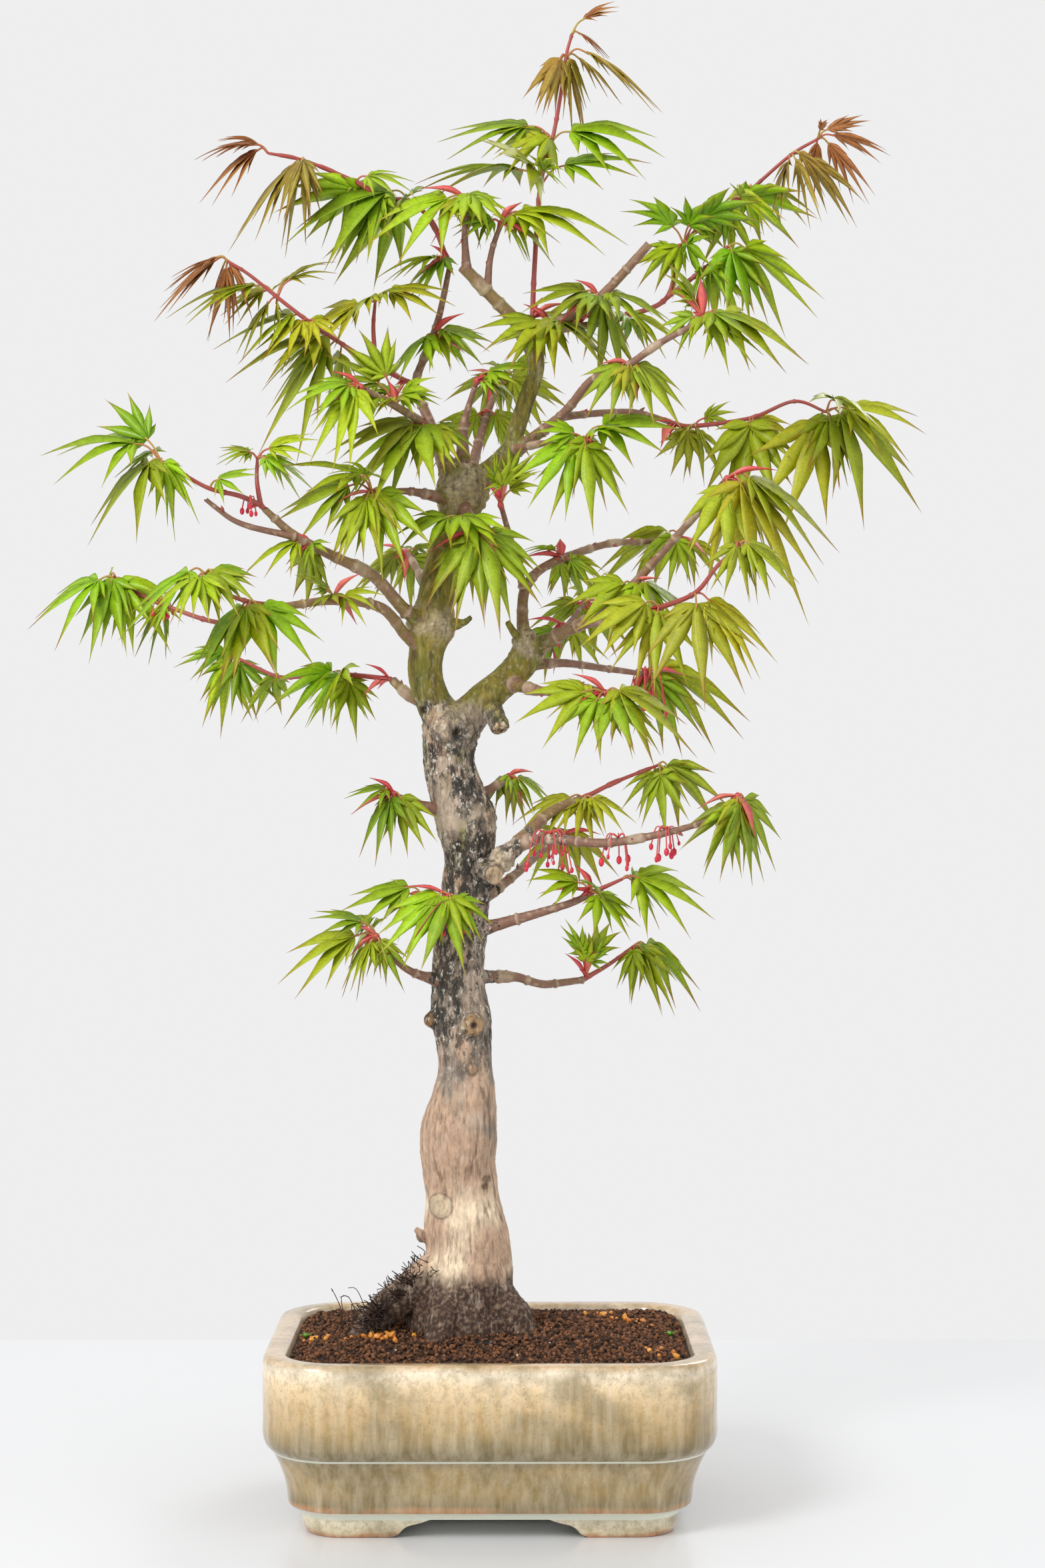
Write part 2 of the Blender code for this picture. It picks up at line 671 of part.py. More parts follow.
def ellipsoid(centre, radii, spare=0.0, segments=8, rings=5):
    shape = bmesh.new()
    bmesh.ops.create_uvsphere(shape, u_segments=segments, v_segments=rings, radius=1.0)
    points = [tuple(c + p * (r + spare) for c, p, r in zip(centre, v.co, radii)) for v in shape.verts]
    faces = [tuple(v.index for v in face.verts) for face in shape.faces]
    shape.free()
    return points, faces


def foot_gap(half_outline, across_pot):
    """A prism that cuts the opening between two feet, through both walls of the foot ring."""
    outline = list(half_outline) + [(half_outline[-1][0] + 1.0, -2.0)]
    outline = outline + [(-x, z) for x, z in reversed(outline)]
    reach = POT_LENGTH
    if across_pot:
        return loft([[(-reach, x, z) for x, z in outline], [(reach, x, z) for x, z in outline]])
    return loft([[(x, -reach, z) for x, z in outline], [(x, reach, z) for x, z in outline]])


def drain_positions():
    return (-DRAIN_SPACING / 2, DRAIN_SPACING / 2)


def make_pot():
    foot_inner = OUTER_WALL[-1][0] + FOOT_WIDTH
    under = ((foot_inner, 0.0), (foot_inner, FOOT_HEIGHT))
    rings = [rounded_rectangle(inset, height) for inset, height in (*INNER_WALL, *OUTER_WALL, *under)]
    obj = add_object("pot", mesh_of("pot", *loft(rings)), material("glaze", (0.72, 0.62, 0.42), 0.25))
    cutters = [foot_gap(FRONT_FOOT_GAP, False), foot_gap(SIDE_FOOT_GAP, True)]
    for x in drain_positions():
        cutters.append(tube(((x, 0, 0, DRAIN_RADIUS), (x, 0, FLOOR_TOP + 5, DRAIN_RADIUS)), DRAIN_SIDES))
    combine(obj, cutters, "DIFFERENCE")
    shade(obj)


def make_screens():
    finish = material("screen_plastic", (0.03, 0.03, 0.03), 0.6)
    low = FLOOR_TOP + GAP
    cell = SCREEN_SIDE / SCREEN_HOLES
    bar = cell * SCREEN_BAR
    for name, x in zip(("drain_screen_left", "drain_screen_right"), drain_positions()):
        half = SCREEN_SIDE / 2
        plate = box((x - half, -half, low), (x + half, half, low + SCREEN_THICKNESS))
        obj = add_object(name, mesh_of(name, *plate), finish)
        holes = []
        for i in range(SCREEN_HOLES):
            for k in range(SCREEN_HOLES):
                near = (x - half + i * cell + bar, -half + k * cell + bar, low - 1)
                far = (x - half + (i + 1) * cell - bar, -half + (k + 1) * cell - bar, low + SCREEN_THICKNESS + 1)
                holes.append(box(near, far))
        combine(obj, holes, "DIFFERENCE")


def make_soil():
    rings = [rounded_rectangle(inset, height) for inset, height in SOIL_SIDE + SOIL_TOP]
    obj = add_object("soil", mesh_of("soil", *loft(rings)), material("soil", (0.12, 0.06, 0.035), 0.95))
    pockets = [tube(TRUNK[:BURIED_TRUNK_POINTS], TRUNK_SIDES, 3 * GAP)]
    pockets += [tube(root, LIMB_SIDES, 2 * GAP) for root in ROOTS]
    pockets += [ellipsoid(centre, radii, 2 * GAP) for centre, radii in PEBBLES.values()]
    combine(obj, pockets, "DIFFERENCE")
    shade(obj)


def make_pebbles():
    finish = material("pebble", (0.015, 0.015, 0.017), 0.2)
    for name, (centre, radii) in PEBBLES.items():
        shade(add_object(name, mesh_of(name, *ellipsoid(centre, radii)), finish))


def make_wood():
    """The trunk, roots and limbs, grown as one piece, and the surface that the leaves keep clear of."""
    colour, roughness = BARK
    obj = add_object("wood", mesh_of("wood", *tube(TRUNK, TRUNK_SIDES)), material("bark", colour, roughness))
    combine(obj, [tube(root, LIMB_SIDES) for root in ROOTS] + limb_shapes(), "UNION")
    shade(obj, 50)
    return tree_of([tube(line, LIMB_SIDES, 2 * GAP) for line in (TRUNK, *LIMBS.values())])


def limb_shapes():
    return [tube(line, LIMB_SIDES if line[0][3] > THICKEST_TWIG else TWIG_SIDES) for line in LIMBS.values()]


def tree_of(shapes):
    return BVHTree.FromPolygons(*joined(shapes))


def wood_clearance(point):
    """The distance from a point to the surface of the nearest limb, negative inside it."""
    nearest = math.inf
    for line in (TRUNK, *LIMBS.values()):
        for (*start, start_radius), (*end, end_radius) in zip(line, line[1:]):
            start = Vector(start)
            along = Vector(end) - start
            share = min(max((point - start).dot(along) / along.length_squared, 0.0), 1.0)
            radius = start_radius + (end_radius - start_radius) * share
            nearest = min(nearest, (point - start - along * share).length - radius)
    return nearest


def stand_off(point, heading, radius):
    """The point moved along the heading until a stem of this radius is just clear of the wood."""
    moved = Vector(point)
    while wood_clearance(moved) < radius + 2 * GAP:
        moved += heading * GAP
    return moved


def leaf_facing(point, axis):
    """The way that a leaf's upper side faces: up, out from the trunk, and to the side of the crown it is on."""
    outward = Vector((point.x, point.y, 0.0))
    outward.normalize()
    front = Vector((0.0, -1.0 if point.y < 20 else 1.0, 0.0))
    facing = outward * 0.4 + front * 0.5 + Vector((0.0, 0.0, 0.7))
    return (facing - axis * facing.dot(axis)).normalized()


def leaf_shape(start, reach):
    """A leaf in one piece, from the foot of its petiole at start to its longest lobe's tip at start + reach."""
    length = reach.length
    lift = Vector((0.0, 0.0, PETIOLE_LIFT * length))
    blade = start + reach * PETIOLE_SHARE + lift
    axis = start + reach - blade
    blade_length = axis.length
    axis.normalize()
    normal = leaf_facing(blade, axis)
    side = axis.cross(normal)
    outline = []
    for i, (angle, share) in enumerate(LOBES):
        heading = axis * math.cos(math.radians(angle)) + side * math.sin(math.radians(angle))
        droop = BLADE_DROOP * (1.0 + abs(angle) / LOBE_DROOP_ANGLE) if angle else 0.0
        outline.append(blade + heading * share * blade_length - normal * droop * share * blade_length)
        if i + 1 < len(LOBES):
            between = math.radians((angle + LOBES[i + 1][0]) / 2)
            heading = axis * math.cos(between) + side * math.sin(between)
            outline.append(blade + heading * NOTCH_DEPTH * blade_length)
    middle = blade + axis * THICK_PLACE * blade_length
    neck = [blade - side * PETIOLE_RADIUS, blade + side * PETIOLE_RADIUS, blade + normal * PETIOLE_RADIUS]
    along = blade - start
    foot_side = side * PETIOLE_RADIUS
    foot_up = along.cross(side).normalized() * -PETIOLE_RADIUS
    foot = [start - foot_side, start + foot_side, start + foot_up]
    upper = middle + normal * BLADE_THICKNESS / 2
    lower = middle - normal * BLADE_THICKNESS / 2
    points = [tuple(p) for p in (*outline, *neck, *foot, upper, lower)]
    left, right, top = range(len(outline), len(outline) + 3)
    low_left, low_right, low_top = range(top + 1, top + 4)
    above, below = low_top + 1, low_top + 2
    edge = [left, *range(len(outline)), right]
    faces = [(a, b, above) for a, b in zip(edge, edge[1:])]
    faces += [(b, a, below) for a, b in zip(edge, edge[1:])]
    faces += [(right, top, above), (top, left, above), (left, right, below)]
    faces += [(low_left, left, top, low_top), (low_top, top, right, low_right), (low_right, right, left, low_left)]
    faces.append((low_left, low_top, low_right))
    return points, faces


def grow(stems, leaves, turn):
    """The shapes of one year's growth, with its leaves turned about the upright by this angle."""
    shapes = []
    spin = Matrix.Rotation(math.radians(turn), 3, "Z")
    for stem in stems:
        if len(stem) > 1:
            shapes.append(tube([(*point, STEM_RADIUS) for point in stem], STEM_SIDES))
    if len(stems[0]) == 1:
        shapes.append(ellipsoid(stems[0][0], (HUB_RADIUS,) * 3, segments=5, rings=3))
    for stem, index, reach in leaves:
        shapes.append(leaf_shape(Vector(stems[stem][index]), spin @ Vector(reach)))
    return shapes


def foot_peg(point, bark):
    """The foot of a shoot or spray, from inside it to just short of the nearest bark."""
    point = Vector(point)
    place = bark.find_nearest(point)[0]
    away = (point - place).normalized()
    return tube([(*(point + away * PEG_INSET), PEG_RADIUS), (*(place + away * GAP), PEG_RADIUS)], STEM_SIDES)


def lifted_stems(stems, leaves):
    """The stems with their first points moved clear of the wood that they grow from."""
    if len(stems[0]) > 1:
        heading = (Vector(stems[0][1]) - Vector(stems[0][0])).normalized()
        radius = STEM_RADIUS
    else:
        heading = sum((Vector(reach).normalized() for *_, reach in leaves), Vector((0, 0, 0.5)))
        heading.normalize()
        radius = HUB_RADIUS
    moved = tuple(stand_off(stems[0][0], heading, radius))
    first = Vector(stems[0][0])
    return [[moved if (Vector(p) - first).length < 0.1 else p for p in stem] for stem in stems]


def make_growth(placed):
    """Every shoot and spray, each turned the least that keeps it clear of the pieces already placed."""
    green = material("leaf", *LEAF_GREEN)
    young = material("young_leaf", *LEAF_YOUNG)
    pieces = {name: (list(stems), leaves) for name, (stems, leaves) in GROWTH.items()}
    for name, (point, reaches) in SPRAYS.items():
        pieces[name] = ([[point]], [(0, 0, reach) for reach in reaches])
    turns = [0] + [sign * size for size in range(3, 180, 3) for sign in (1, -1)]
    bark = tree_of([tube(TRUNK, TRUNK_SIDES), *limb_shapes()])
    for name, (stems, leaves) in pieces.items():
        stems = lifted_stems(stems, leaves)
        for turn in turns:
            shapes = grow(stems, leaves, turn)
            surface = tree_of(shapes)
            if not any(surface.overlap(other) for other in placed):
                break
        else:
            raise ValueError(f"{name} has no place clear of its neighbours")
        placed.append(surface)
        first, *others = [*shapes, foot_peg(stems[0][0], bark)]
        finish = young if name in ("leader_shoot", "upper_left_shoot") else green
        obj = add_object(name, mesh_of(name, *first), finish)
        combine(obj, others, "UNION")


clear_scene()
make_pot()
make_screens()
make_soil()
make_pebbles()
wood_surface = make_wood()
make_growth([wood_surface])
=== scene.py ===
"""The looks of a Japanese maple bonsai in a glazed, footed pot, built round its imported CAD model.

The tables of limbs, shoots and sprays are the part's own. Lengths are in millimetres until Build.make
scales a piece to metres. The lamps and the camera are placed in metres.
"""

import math
import random

import bmesh
import bpy
import numpy as np
from mathutils import Matrix, Vector, noise


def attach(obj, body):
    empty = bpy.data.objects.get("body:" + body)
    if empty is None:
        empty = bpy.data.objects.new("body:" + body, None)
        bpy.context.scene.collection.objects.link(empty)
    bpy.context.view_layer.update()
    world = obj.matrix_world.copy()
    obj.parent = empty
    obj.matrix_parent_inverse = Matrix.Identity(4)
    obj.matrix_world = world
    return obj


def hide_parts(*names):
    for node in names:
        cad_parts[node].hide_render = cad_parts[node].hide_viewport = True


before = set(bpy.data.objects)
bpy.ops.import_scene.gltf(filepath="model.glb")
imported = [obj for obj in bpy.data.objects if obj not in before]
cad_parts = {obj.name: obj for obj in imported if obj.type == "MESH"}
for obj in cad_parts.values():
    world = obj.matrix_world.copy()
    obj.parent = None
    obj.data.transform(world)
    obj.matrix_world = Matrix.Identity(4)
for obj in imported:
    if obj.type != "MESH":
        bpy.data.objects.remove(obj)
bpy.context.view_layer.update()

MM = 0.001
GAP = 0.3
UP = Vector((0.0, 0.0, 1.0))

# Pot
POT_LENGTH = 220.0
POT_DEPTH = 168.0
POT_HEIGHT = 86.0
CORNER_RADIUS = 35.0
CORNER_TIGHTENING = 0.8  # how much less the corner radius is, for each millimetre further in
LEAST_CORNER_RADIUS = 6.0
FOOT_HEIGHT = 9.4
FLOOR_TOP = 17.0
DRAIN_RADIUS = 9.0
DRAIN_SPACING = 100.0
# How far the wall stands in from the rim's edge, and the height there
OUTER_WALL = (
    (2.0, 86.0), (0.6, 85.4), (0.0, 84.0), (0.0, 47.0), (1.5, 43.0), (4.5, 40.0), (9.0, 30.0),
    (12.0, 21.0), (12.2, 15.0), (14.5, 12.5), (17.5, 10.5), (18.5, 8.0), (20.0, 2.0), (21.0, 0.0),
)
FOOT_WIDTH = 9.0
INNER_WALL = (
    (22.5, FLOOR_TOP),
    (20.5, 22.0),
    (14.5, 40.0),
    (12.0, 50.0),
    (12.0, 84.0),
    (11.4, 85.4),
    (10.0, 86.0),
)
# Half of the cloud-shaped opening between two feet: from the middle out, and the height there
FRONT_FOOT_GAP = ((28.5, 9.2), (33.0, 7.6), (40.0, 5.5), (44.0, 1.5), (47.5, 0.0))
SIDE_FOOT_GAP = ((17.0, 9.2), (21.0, 7.6), (27.0, 5.5), (31.0, 1.5), (34.0, 0.0))

# Drain screens, which lie over the two drain holes
SCREEN_THICKNESS = 1.0

# Soil
SOIL_BOTTOM = FLOOR_TOP + SCREEN_THICKNESS + 2 * GAP
SOIL_SIDE = ((23.5, SOIL_BOTTOM), (21.0, 24.0), (15.0, 40.6), (12.4, 50.5), (12.4, 82.5))

# Wood: x, y, z and radius along the middle of each limb
TRUNK = (
    (-14, 0, 62, 24), (-14, 0, 84, 28), (-15, 0, 98, 27), (-12, 0, 108, 23.5), (-11, 1, 118, 22),
    (-11.5, 2, 128, 21), (-13.5, 3, 141, 20.2), (-14.5, 3, 155, 18.3), (-16, 2, 169, 18.2),
    (-16.5, 1, 180, 19.2), (-15.5, 0, 191, 18.9), (-13.5, -1, 204, 16.4), (-13, -1, 218, 13.6),
    (-13.5, 0, 231, 13.8), (-15, 1, 243, 15.2), (-16.5, 2, 255, 13.8), (-16.5, 2, 270, 12.7),
    (-14.5, 2, 289, 12.7), (-12.5, 2, 308, 12.4), (-11, 1, 325, 12.4), (-12, 0, 341, 15),
    (-17.5, 0, 357, 13.8), (-21, 0, 371, 12.3), (-21, 0, 381, 12.8), (-19.5, 0, 391, 14.5),
    (-18, 0, 399, 10),
)
ROOTS = (
    ((-22, -4, 124, 9), (-40, -8, 108, 9.5), (-56, -12, 96, 8), (-70, -16, 80, 4)),
    ((-4, -6, 114, 10), (8, -12, 99, 9), (17, -17, 86, 7), (24, -21, 72, 3.5)),
    ((-18, -8, 114, 11), (-23, -22, 98, 9), (-28, -33, 82, 5)),
    ((-14, 8, 112, 10), (-11, 24, 96, 8), (-8, 38, 80, 4)),
    ((-4, 6, 110, 9), (12, 18, 94, 7), (24, 28, 78, 4)),
    ((-26, 6, 112, 9), (-40, 18, 96, 7), (-52, 28, 80, 4)),
)
LIMBS = {
    "left_stem": (
        (-19, 0, 386, 11), (-29, -1, 403, 9), (-33, -2, 417, 8.7), (-32, -2, 430, 9.2),
        (-30, -1, 441, 12), (-28, 0, 453, 9.5), (-24, 2, 473, 8.8), (-18, 4, 494, 9), (-15, 4, 507, 13),
        (-14, 4, 519, 11),
    ),
    "right_stem": (
        (-19, 0, 386, 11), (-5, 3, 402, 9), (8, 6, 414, 7.8), (16, 8, 423, 8), (20, 9, 433, 7.6),
    ),
    "top_right": (
        (-10, 4, 510, 7), (8, 6, 528, 5), (13, 7, 541, 4.6), (18, 8, 556, 4.4), (23, 8, 572, 4.2),
        (20, 7, 587, 5.2), (18, 6, 594, 3.6),
    ),
    "top_right_side": (
        (13, 7, 530, 3.2), (36, -8, 546, 2.4), (50, -20, 561, 2.1), (66, -30, 566, 1.9),
        (82, -38, 576, 1.6), (100, -44, 585, 1.3),
    ),
    "top_right_back": ((34, -6, 545, 2), (56, 8, 549, 1.8), (74, 20, 551, 1.6), (91, 25, 547, 1.4)),
    "top_right_low": ((10, 6, 530, 2.2), (28, -14, 531, 1.5), (44, -25, 531, 1.2)),
    "crown_left": ((18, 7, 590, 3.8), (1, 0, 606, 3.2), (-14, -8, 620, 3)),
    "crown_left_inner": ((-2, -1, 608, 2), (0, -6, 626, 1.5), (4, -9, 638, 1.2)),
    "crown_left_outer": ((-12, -7, 618, 2.2), (-13, -12, 636, 1.5), (-12, -14, 649, 1.2)),
    "crown_right": ((18, 8, 590, 3.4), (38, 14, 593, 2.2), (64, 21, 598, 1.7)),
    "crown_stub": ((20, 5, 588, 3.2), (40, -3, 596, 2.7), (56, -8, 606, 2.4), (79, -14, 630, 2.2)),
    "top_left_front": (
        (-15, 0, 516, 4.6), (-24, -7, 526, 2.8), (-29, -14, 537, 2.4), (-43, -28, 545, 2),
        (-61, -42, 553, 1.5),
    ),
    "top_left_mid": ((-14, 4, 517, 4.2), (-14, 6, 540, 2.5), (-11, 3, 552, 1.6), (-8, 0, 561, 1.3)),
    "top_left_stem": (
        (-20, 6, 512, 4.4), (-27, 10, 534, 3), (-34, 16, 552, 2.6), (-39, 20, 564, 2.2),
        (-32, 18, 584, 1.9), (-27, 15, 597, 1.7), (-23, 12, 614, 1.5), (-21, 12, 624, 1.3),
    ),
    "top_back": ((-12, 10, 510, 4), (-8, 34, 532, 2.6), (-2, 62, 557, 1.9), (4, 86, 576, 1.3)),
    "left_upper": (
        (-30, -4, 441, 4.4), (-42, -13, 447, 3.4), (-58, -20, 464, 3), (-77, -28, 473, 2.6),
        (-96, -34, 483, 2.2), (-110, -39, 495, 1.7),
    ),
    "left_upper_low": ((-95, -34, 482, 1.7), (-122, -42, 488, 1.4), (-138, -46, 499, 1.1)),
    "left_middle": (
        (-33, -4, 428, 4), (-42, -11, 435, 3), (-54, -25, 448, 2.6), (-75, -46, 450, 2.2),
        (-97, -64, 446, 1.8),
    ),
    "left_lower": ((-28, 3, 400, 3.6), (-40, 12, 405, 2.7), (-50, 22, 414, 2.3)),
    "left_back": ((-28, 5, 452, 3.4), (-35, 34, 466, 2.2), (-44, 72, 483, 1.4)),
    "right_upper": (
        (18, 9, 428, 4.4), (16, 13, 446, 2.9), (18, 18, 462, 2.7), (30, 24, 474, 2.2),
        (60, 44, 486, 1.8), (78, 54, 488, 1.5), (97, 63, 491, 1.2),
    ),
    "right_upper_twig": ((17, 17, 460, 2), (13, 8, 473, 1.8), (9, -4, 487, 1.5), (6, -12, 497, 1.3)),
    "right_main": (
        (20, 7, 429, 4.6), (44, -6, 441, 2.9), (59, -16, 450, 2.6), (69, -23, 458, 2.3),
        (92, -36, 483, 1.9), (113, -47, 507, 1.4),
    ),
    "right_main_low": ((42, -5, 440, 2.4), (63, -30, 443, 2.1), (80, -50, 445, 1.7)),
    "right_thin": ((16, 11, 421, 3.2), (36, 20, 423, 2.2), (59, 37, 421, 1.8), (78, 50, 419, 1.4)),
    "right_low": ((10, 2, 412, 3.4), (26, -20, 407, 2.4), (42, -50, 408, 2), (53, -70, 405, 1.6)),
    "right_back": ((16, 13, 424, 3.2), (26, 50, 430, 2.2), (40, 80, 446, 1.6), (49, 96.5, 458, 1.2)),
    "middle_left": ((-24, -3, 348, 3.6), (-36, -10, 351, 2), (-46, -15, 355, 1.3)),
    "middle_right": ((-8, 4, 354, 3.4), (2, 9, 360, 2), (8, 12, 364, 1.5)),
    "low_right_stem": (
        (-9, -4, 284, 6.4), (-6, -8, 303, 5.2), (0, -10, 317, 5.4), (6, -12, 324, 5.6),
        (17, -14, 334, 3.2),
    ),
    "low_right_upper": ((14, -14, 332, 3.2), (30, -4, 347, 2.7), (45, 8, 353, 2.2)),
    "low_right_lower": (
        (16, -14, 332, 2.8), (29, -20, 334, 2.5), (55, -34, 332, 2.2), (80, -46, 336, 1.8),
        (104, -55, 343, 1.4), (118, -61, 353, 1.1),
    ),
    "low_right_front": (
        (-6, -4, 288, 3.4), (25, -10, 297, 2.2), (43, -16, 303, 1.8), (48, -18, 306, 1.6),
    ),
    "low_right_back": ((-8, 5, 264, 3.4), (14, 13, 263, 2.3), (26, 21, 259, 2.1), (47, 38, 260, 1.7)),
    "low_left": ((-24, -3, 262, 3.4), (-40, -14, 268, 1.9), (-51, -24, 278, 1.5), (-55, -29, 284, 1.2)),
    "low_left_front": ((-22, -4, 298, 3), (-29, -12, 302, 1.6), (-33, -17, 305, 1.2)),
    "low_front": ((-16, -8, 296, 3.2), (-19, -28, 301, 1.7), (-20, -40, 305, 1.2)),
    "low_back": ((-8, 8, 300, 3.4), (14, 36, 316, 2.2), (36, 74, 334, 1.4)),
    "front_low_spur": ((-20, -2, 490, 3), (-16, -20, 492, 1.5)),
    "front_high_spur": ((-14, -2, 502, 3.4), (-8, -24, 487, 1.6)),
    "left_front_spur": ((-20, 0, 504, 3.6), (-40, -20, 506, 1.8), (-56, -32, 504, 1.3)),
}

# This year's growth. Each has its stems, as points along their middles, and its leaves: the stem and
# the point of it that a leaf grows from, and the way from there to the tip of the leaf.
STEM_RADIUS = 1.1
GROWTH = {
    "leader_shoot": (
        (
            (
                (21, 8, 597), (22, 8, 622), (25, 8, 664), (31, 7, 687), (35, 6, 708), (38, 5, 729),
                (41, 4, 740),
            ),
        ),
        (
            (0, 6, (23, -2, 14)), (0, 6, (17, 5, -9)), (0, 5, (-14, -10, -28)), (0, 5, (8, 12, -34)),
            (0, 5, (46, -4, -26)), (0, 3, (-54, 6, 2)), (0, 3, (54, -6, -5)), (0, 3, (-8, -26, -20)),
            (0, 2, (-62, 12, 6)), (0, 2, (52, -10, 10)),
        ),
    ),
    "far_right_shoot": (
        (
            (
                (68, 22, 600), (90, 28, 611), (99, 30, 639), (122, 32, 659), (134, 32, 668),
                (154, 30, 685), (168, 28, 693),
            ),
            ((90, 28, 611), (110, 24, 626), (121, 20, 636)),
        ),
        (
            (0, 6, (24, -4, 9)), (0, 6, (34, 4, -6)), (0, 6, (24, 8, -26)), (0, 5, (14, -10, -34)),
            (0, 5, (34, 10, -28)), (0, 4, (29, 20, -12)), (0, 3, (42, -8, -10)), (0, 3, (4, 12, -28)),
            (0, 2, (-28, -18, 22)), (0, 2, (36, -22, 20)), (0, 2, (-22, -6, -20)),
            (0, 2, (8, -18, -24)), (1, 2, (10, -8, -36)), (1, 2, (42, 6, -32)), (1, 1, (-8, -14, -24)),
            (1, 1, (18, 14, -24)), (0, 0, (28, -6, -14)), (0, 0, (12, 18, -12)),
        ),
    ),
    "upper_left_shoot": (
        (
            (
                (-22, 13, 627), (-30, 16, 647), (-41, 18, 658), (-55, 18, 660), (-69, 16, 668),
                (-95, 13, 678), (-113, 10, 681),
            ),
        ),
        (
            (0, 6, (-34, -4, -3)), (0, 6, (-26, 8, 6)), (0, 6, (-30, 2, -20)), (0, 5, (-32, -6, -38)),
            (0, 5, (-8, 10, -40)), (0, 4, (28, -10, -6)), (0, 4, (-14, 18, -24)), (0, 3, (-52, 10, -4)),
            (0, 3, (-22, -12, -34)), (0, 2, (-60, -8, -20)), (0, 2, (-32, 20, -30)),
            (0, 0, (-32, -8, -8)), (0, 0, (-12, -18, -20)),
        ),
    ),
    "second_left_shoot": (
        (
            (
                (-43, 14, 566), (-58, 2, 572), (-74, -7, 581), (-90, -13, 591), (-106, -16, 603),
                (-120, -18, 614), (-130, -20, 620),
            ),
            ((-58, 2, 572), (-59, -2, 590), (-58, -4, 603)),
        ),
        (
            (0, 6, (-33, -4, -24)), (0, 6, (-6, 8, -33)), (0, 6, (-30, 8, -10)), (0, 4, (28, 6, 20)),
            (0, 4, (-48, -6, -8)), (0, 4, (-20, 12, -24)), (0, 3, (-42, 6, -10)),
            (0, 3, (-20, -14, -18)), (0, 2, (-46, -14, -16)), (0, 2, (-36, 10, -42)),
            (1, 2, (39, -8, 0)), (1, 2, (-38, 6, -20)),
        ),
    ),
    "far_right_middle_shoot": (
        (((94, 26, 546), (104, 27, 545), (133, 26, 549), (155, 22, 557), (171, 18, 551)),),
        (
            (0, 1, (-12, -10, -14)), (0, 1, (22, 4, 8)), (0, 1, (8, 20, -26)), (0, 2, (-4, -12, -48)),
            (0, 2, (20, 16, -14)), (0, 4, (-22, -12, -56)), (0, 4, (46.5, -4, -10)),
            (0, 4, (40, 8, -42)), (0, 4, (4, -16, -38)),
        ),
    ),
    "left_upper_shoot": (
        (
            ((-112, -40, 497), (-122, -45, 501), (-136, -50, 504), (-149, -54, 511), (-159, -56, 517)),
            ((-112, -40, 497), (-114, -38, 509), (-114, -36, 520)),
        ),
        (
            (0, 4, (-51, -4, 2)), (0, 4, (-28, 6, 30)), (0, 4, (-28, -12, -34)), (0, 4, (6, 6, -32)),
            (0, 2, (24, -12, 4)), (1, 2, (29, -8, 8)), (1, 2, (26, 8, -12)), (1, 2, (-20, 14, 4)),
        ),
    ),
    "left_middle_shoot": (
        (
            ((-100, -66, 446), (-113, -75, 447), (-125, -84, 451), (-133, -92, 459)),
            ((-100, -66, 446), (-126, -62, 438), (-154, -50, 446), (-170, -47, 453), (-182, -44, 461)),
        ),
        (
            (0, 3, (22, -8, -8)), (0, 3, (-36, -6, -28)), (0, 3, (-12, -28, -22)),
            (0, 1, (-24, -8, -32)), (0, 1, (-4, -18, -34)), (0, 1, (24, -8, -28)),
            (1, 4, (-35.5, -6, -22)), (1, 4, (-8, -14, -34)), (1, 4, (22, -4, -28)),
            (1, 2, (-18, 20, -18)),
        ),
    ),
    "left_lower_shoot": (
        (
            (
                (-52, 24, 415), (-75, 42, 418), (-94, 54, 418), (-112, 66, 418), (-130, 78, 426),
                (-138, 83, 430),
            ),
        ),
        (
            (0, 5, (-27, 6, -6)), (0, 5, (-7, 12, -38)), (0, 5, (12, -6, -32)), (0, 3, (-14, 24, -20)),
            (0, 1, (-38, -6, -14)), (0, 1, (-8, 22, -26)), (0, 1, (6, -10, -30)),
        ),
    ),
    "right_low_shoot": (
        (((82, -52, 446), (98, -67, 452), (108, -73, 464), (118, -78, 474)),),
        (
            (0, 0, (-38, -10, -18)), (0, 0, (-6, -16, -36)), (0, 1, (30, -8, -34)),
            (0, 1, (2, -18, -46)), (0, 3, (24, -8, -20)), (0, 3, (-6, -20, -26)),
        ),
    ),
    "low_right_upper_shoot": (
        (((47, 9, 354), (63, 21, 362), (86, 38, 371)),),
        (
            (0, 0, (-30, -14, -16)), (0, 0, (-4, -20, -20)), (0, 0, (18, -14, -14)),
            (0, 2, (27, 6, -28)), (0, 2, (6, -10, -34)), (0, 2, (-8, 18, -24)),
        ),
    ),
    "low_right_back_shoot": (
        (((49, 40, 261), (62, 49, 268), (75, 56, 277)),),
        ((0, 0, (-9, -6, 32)), (0, 0, (14, 6, 30)), (0, 2, (31, 6, -28)), (0, 2, (10, -8, -26))),
    ),
    "low_right_front_shoot": (
        (((50, -18, 307), (65, -24, 314)),),
        ((0, 0, (-31, -8, 6)), (0, 0, (14, -18, -18)), (0, 1, (41, -6, -16)), (0, 1, (22, 14, -18))),
    ),
}

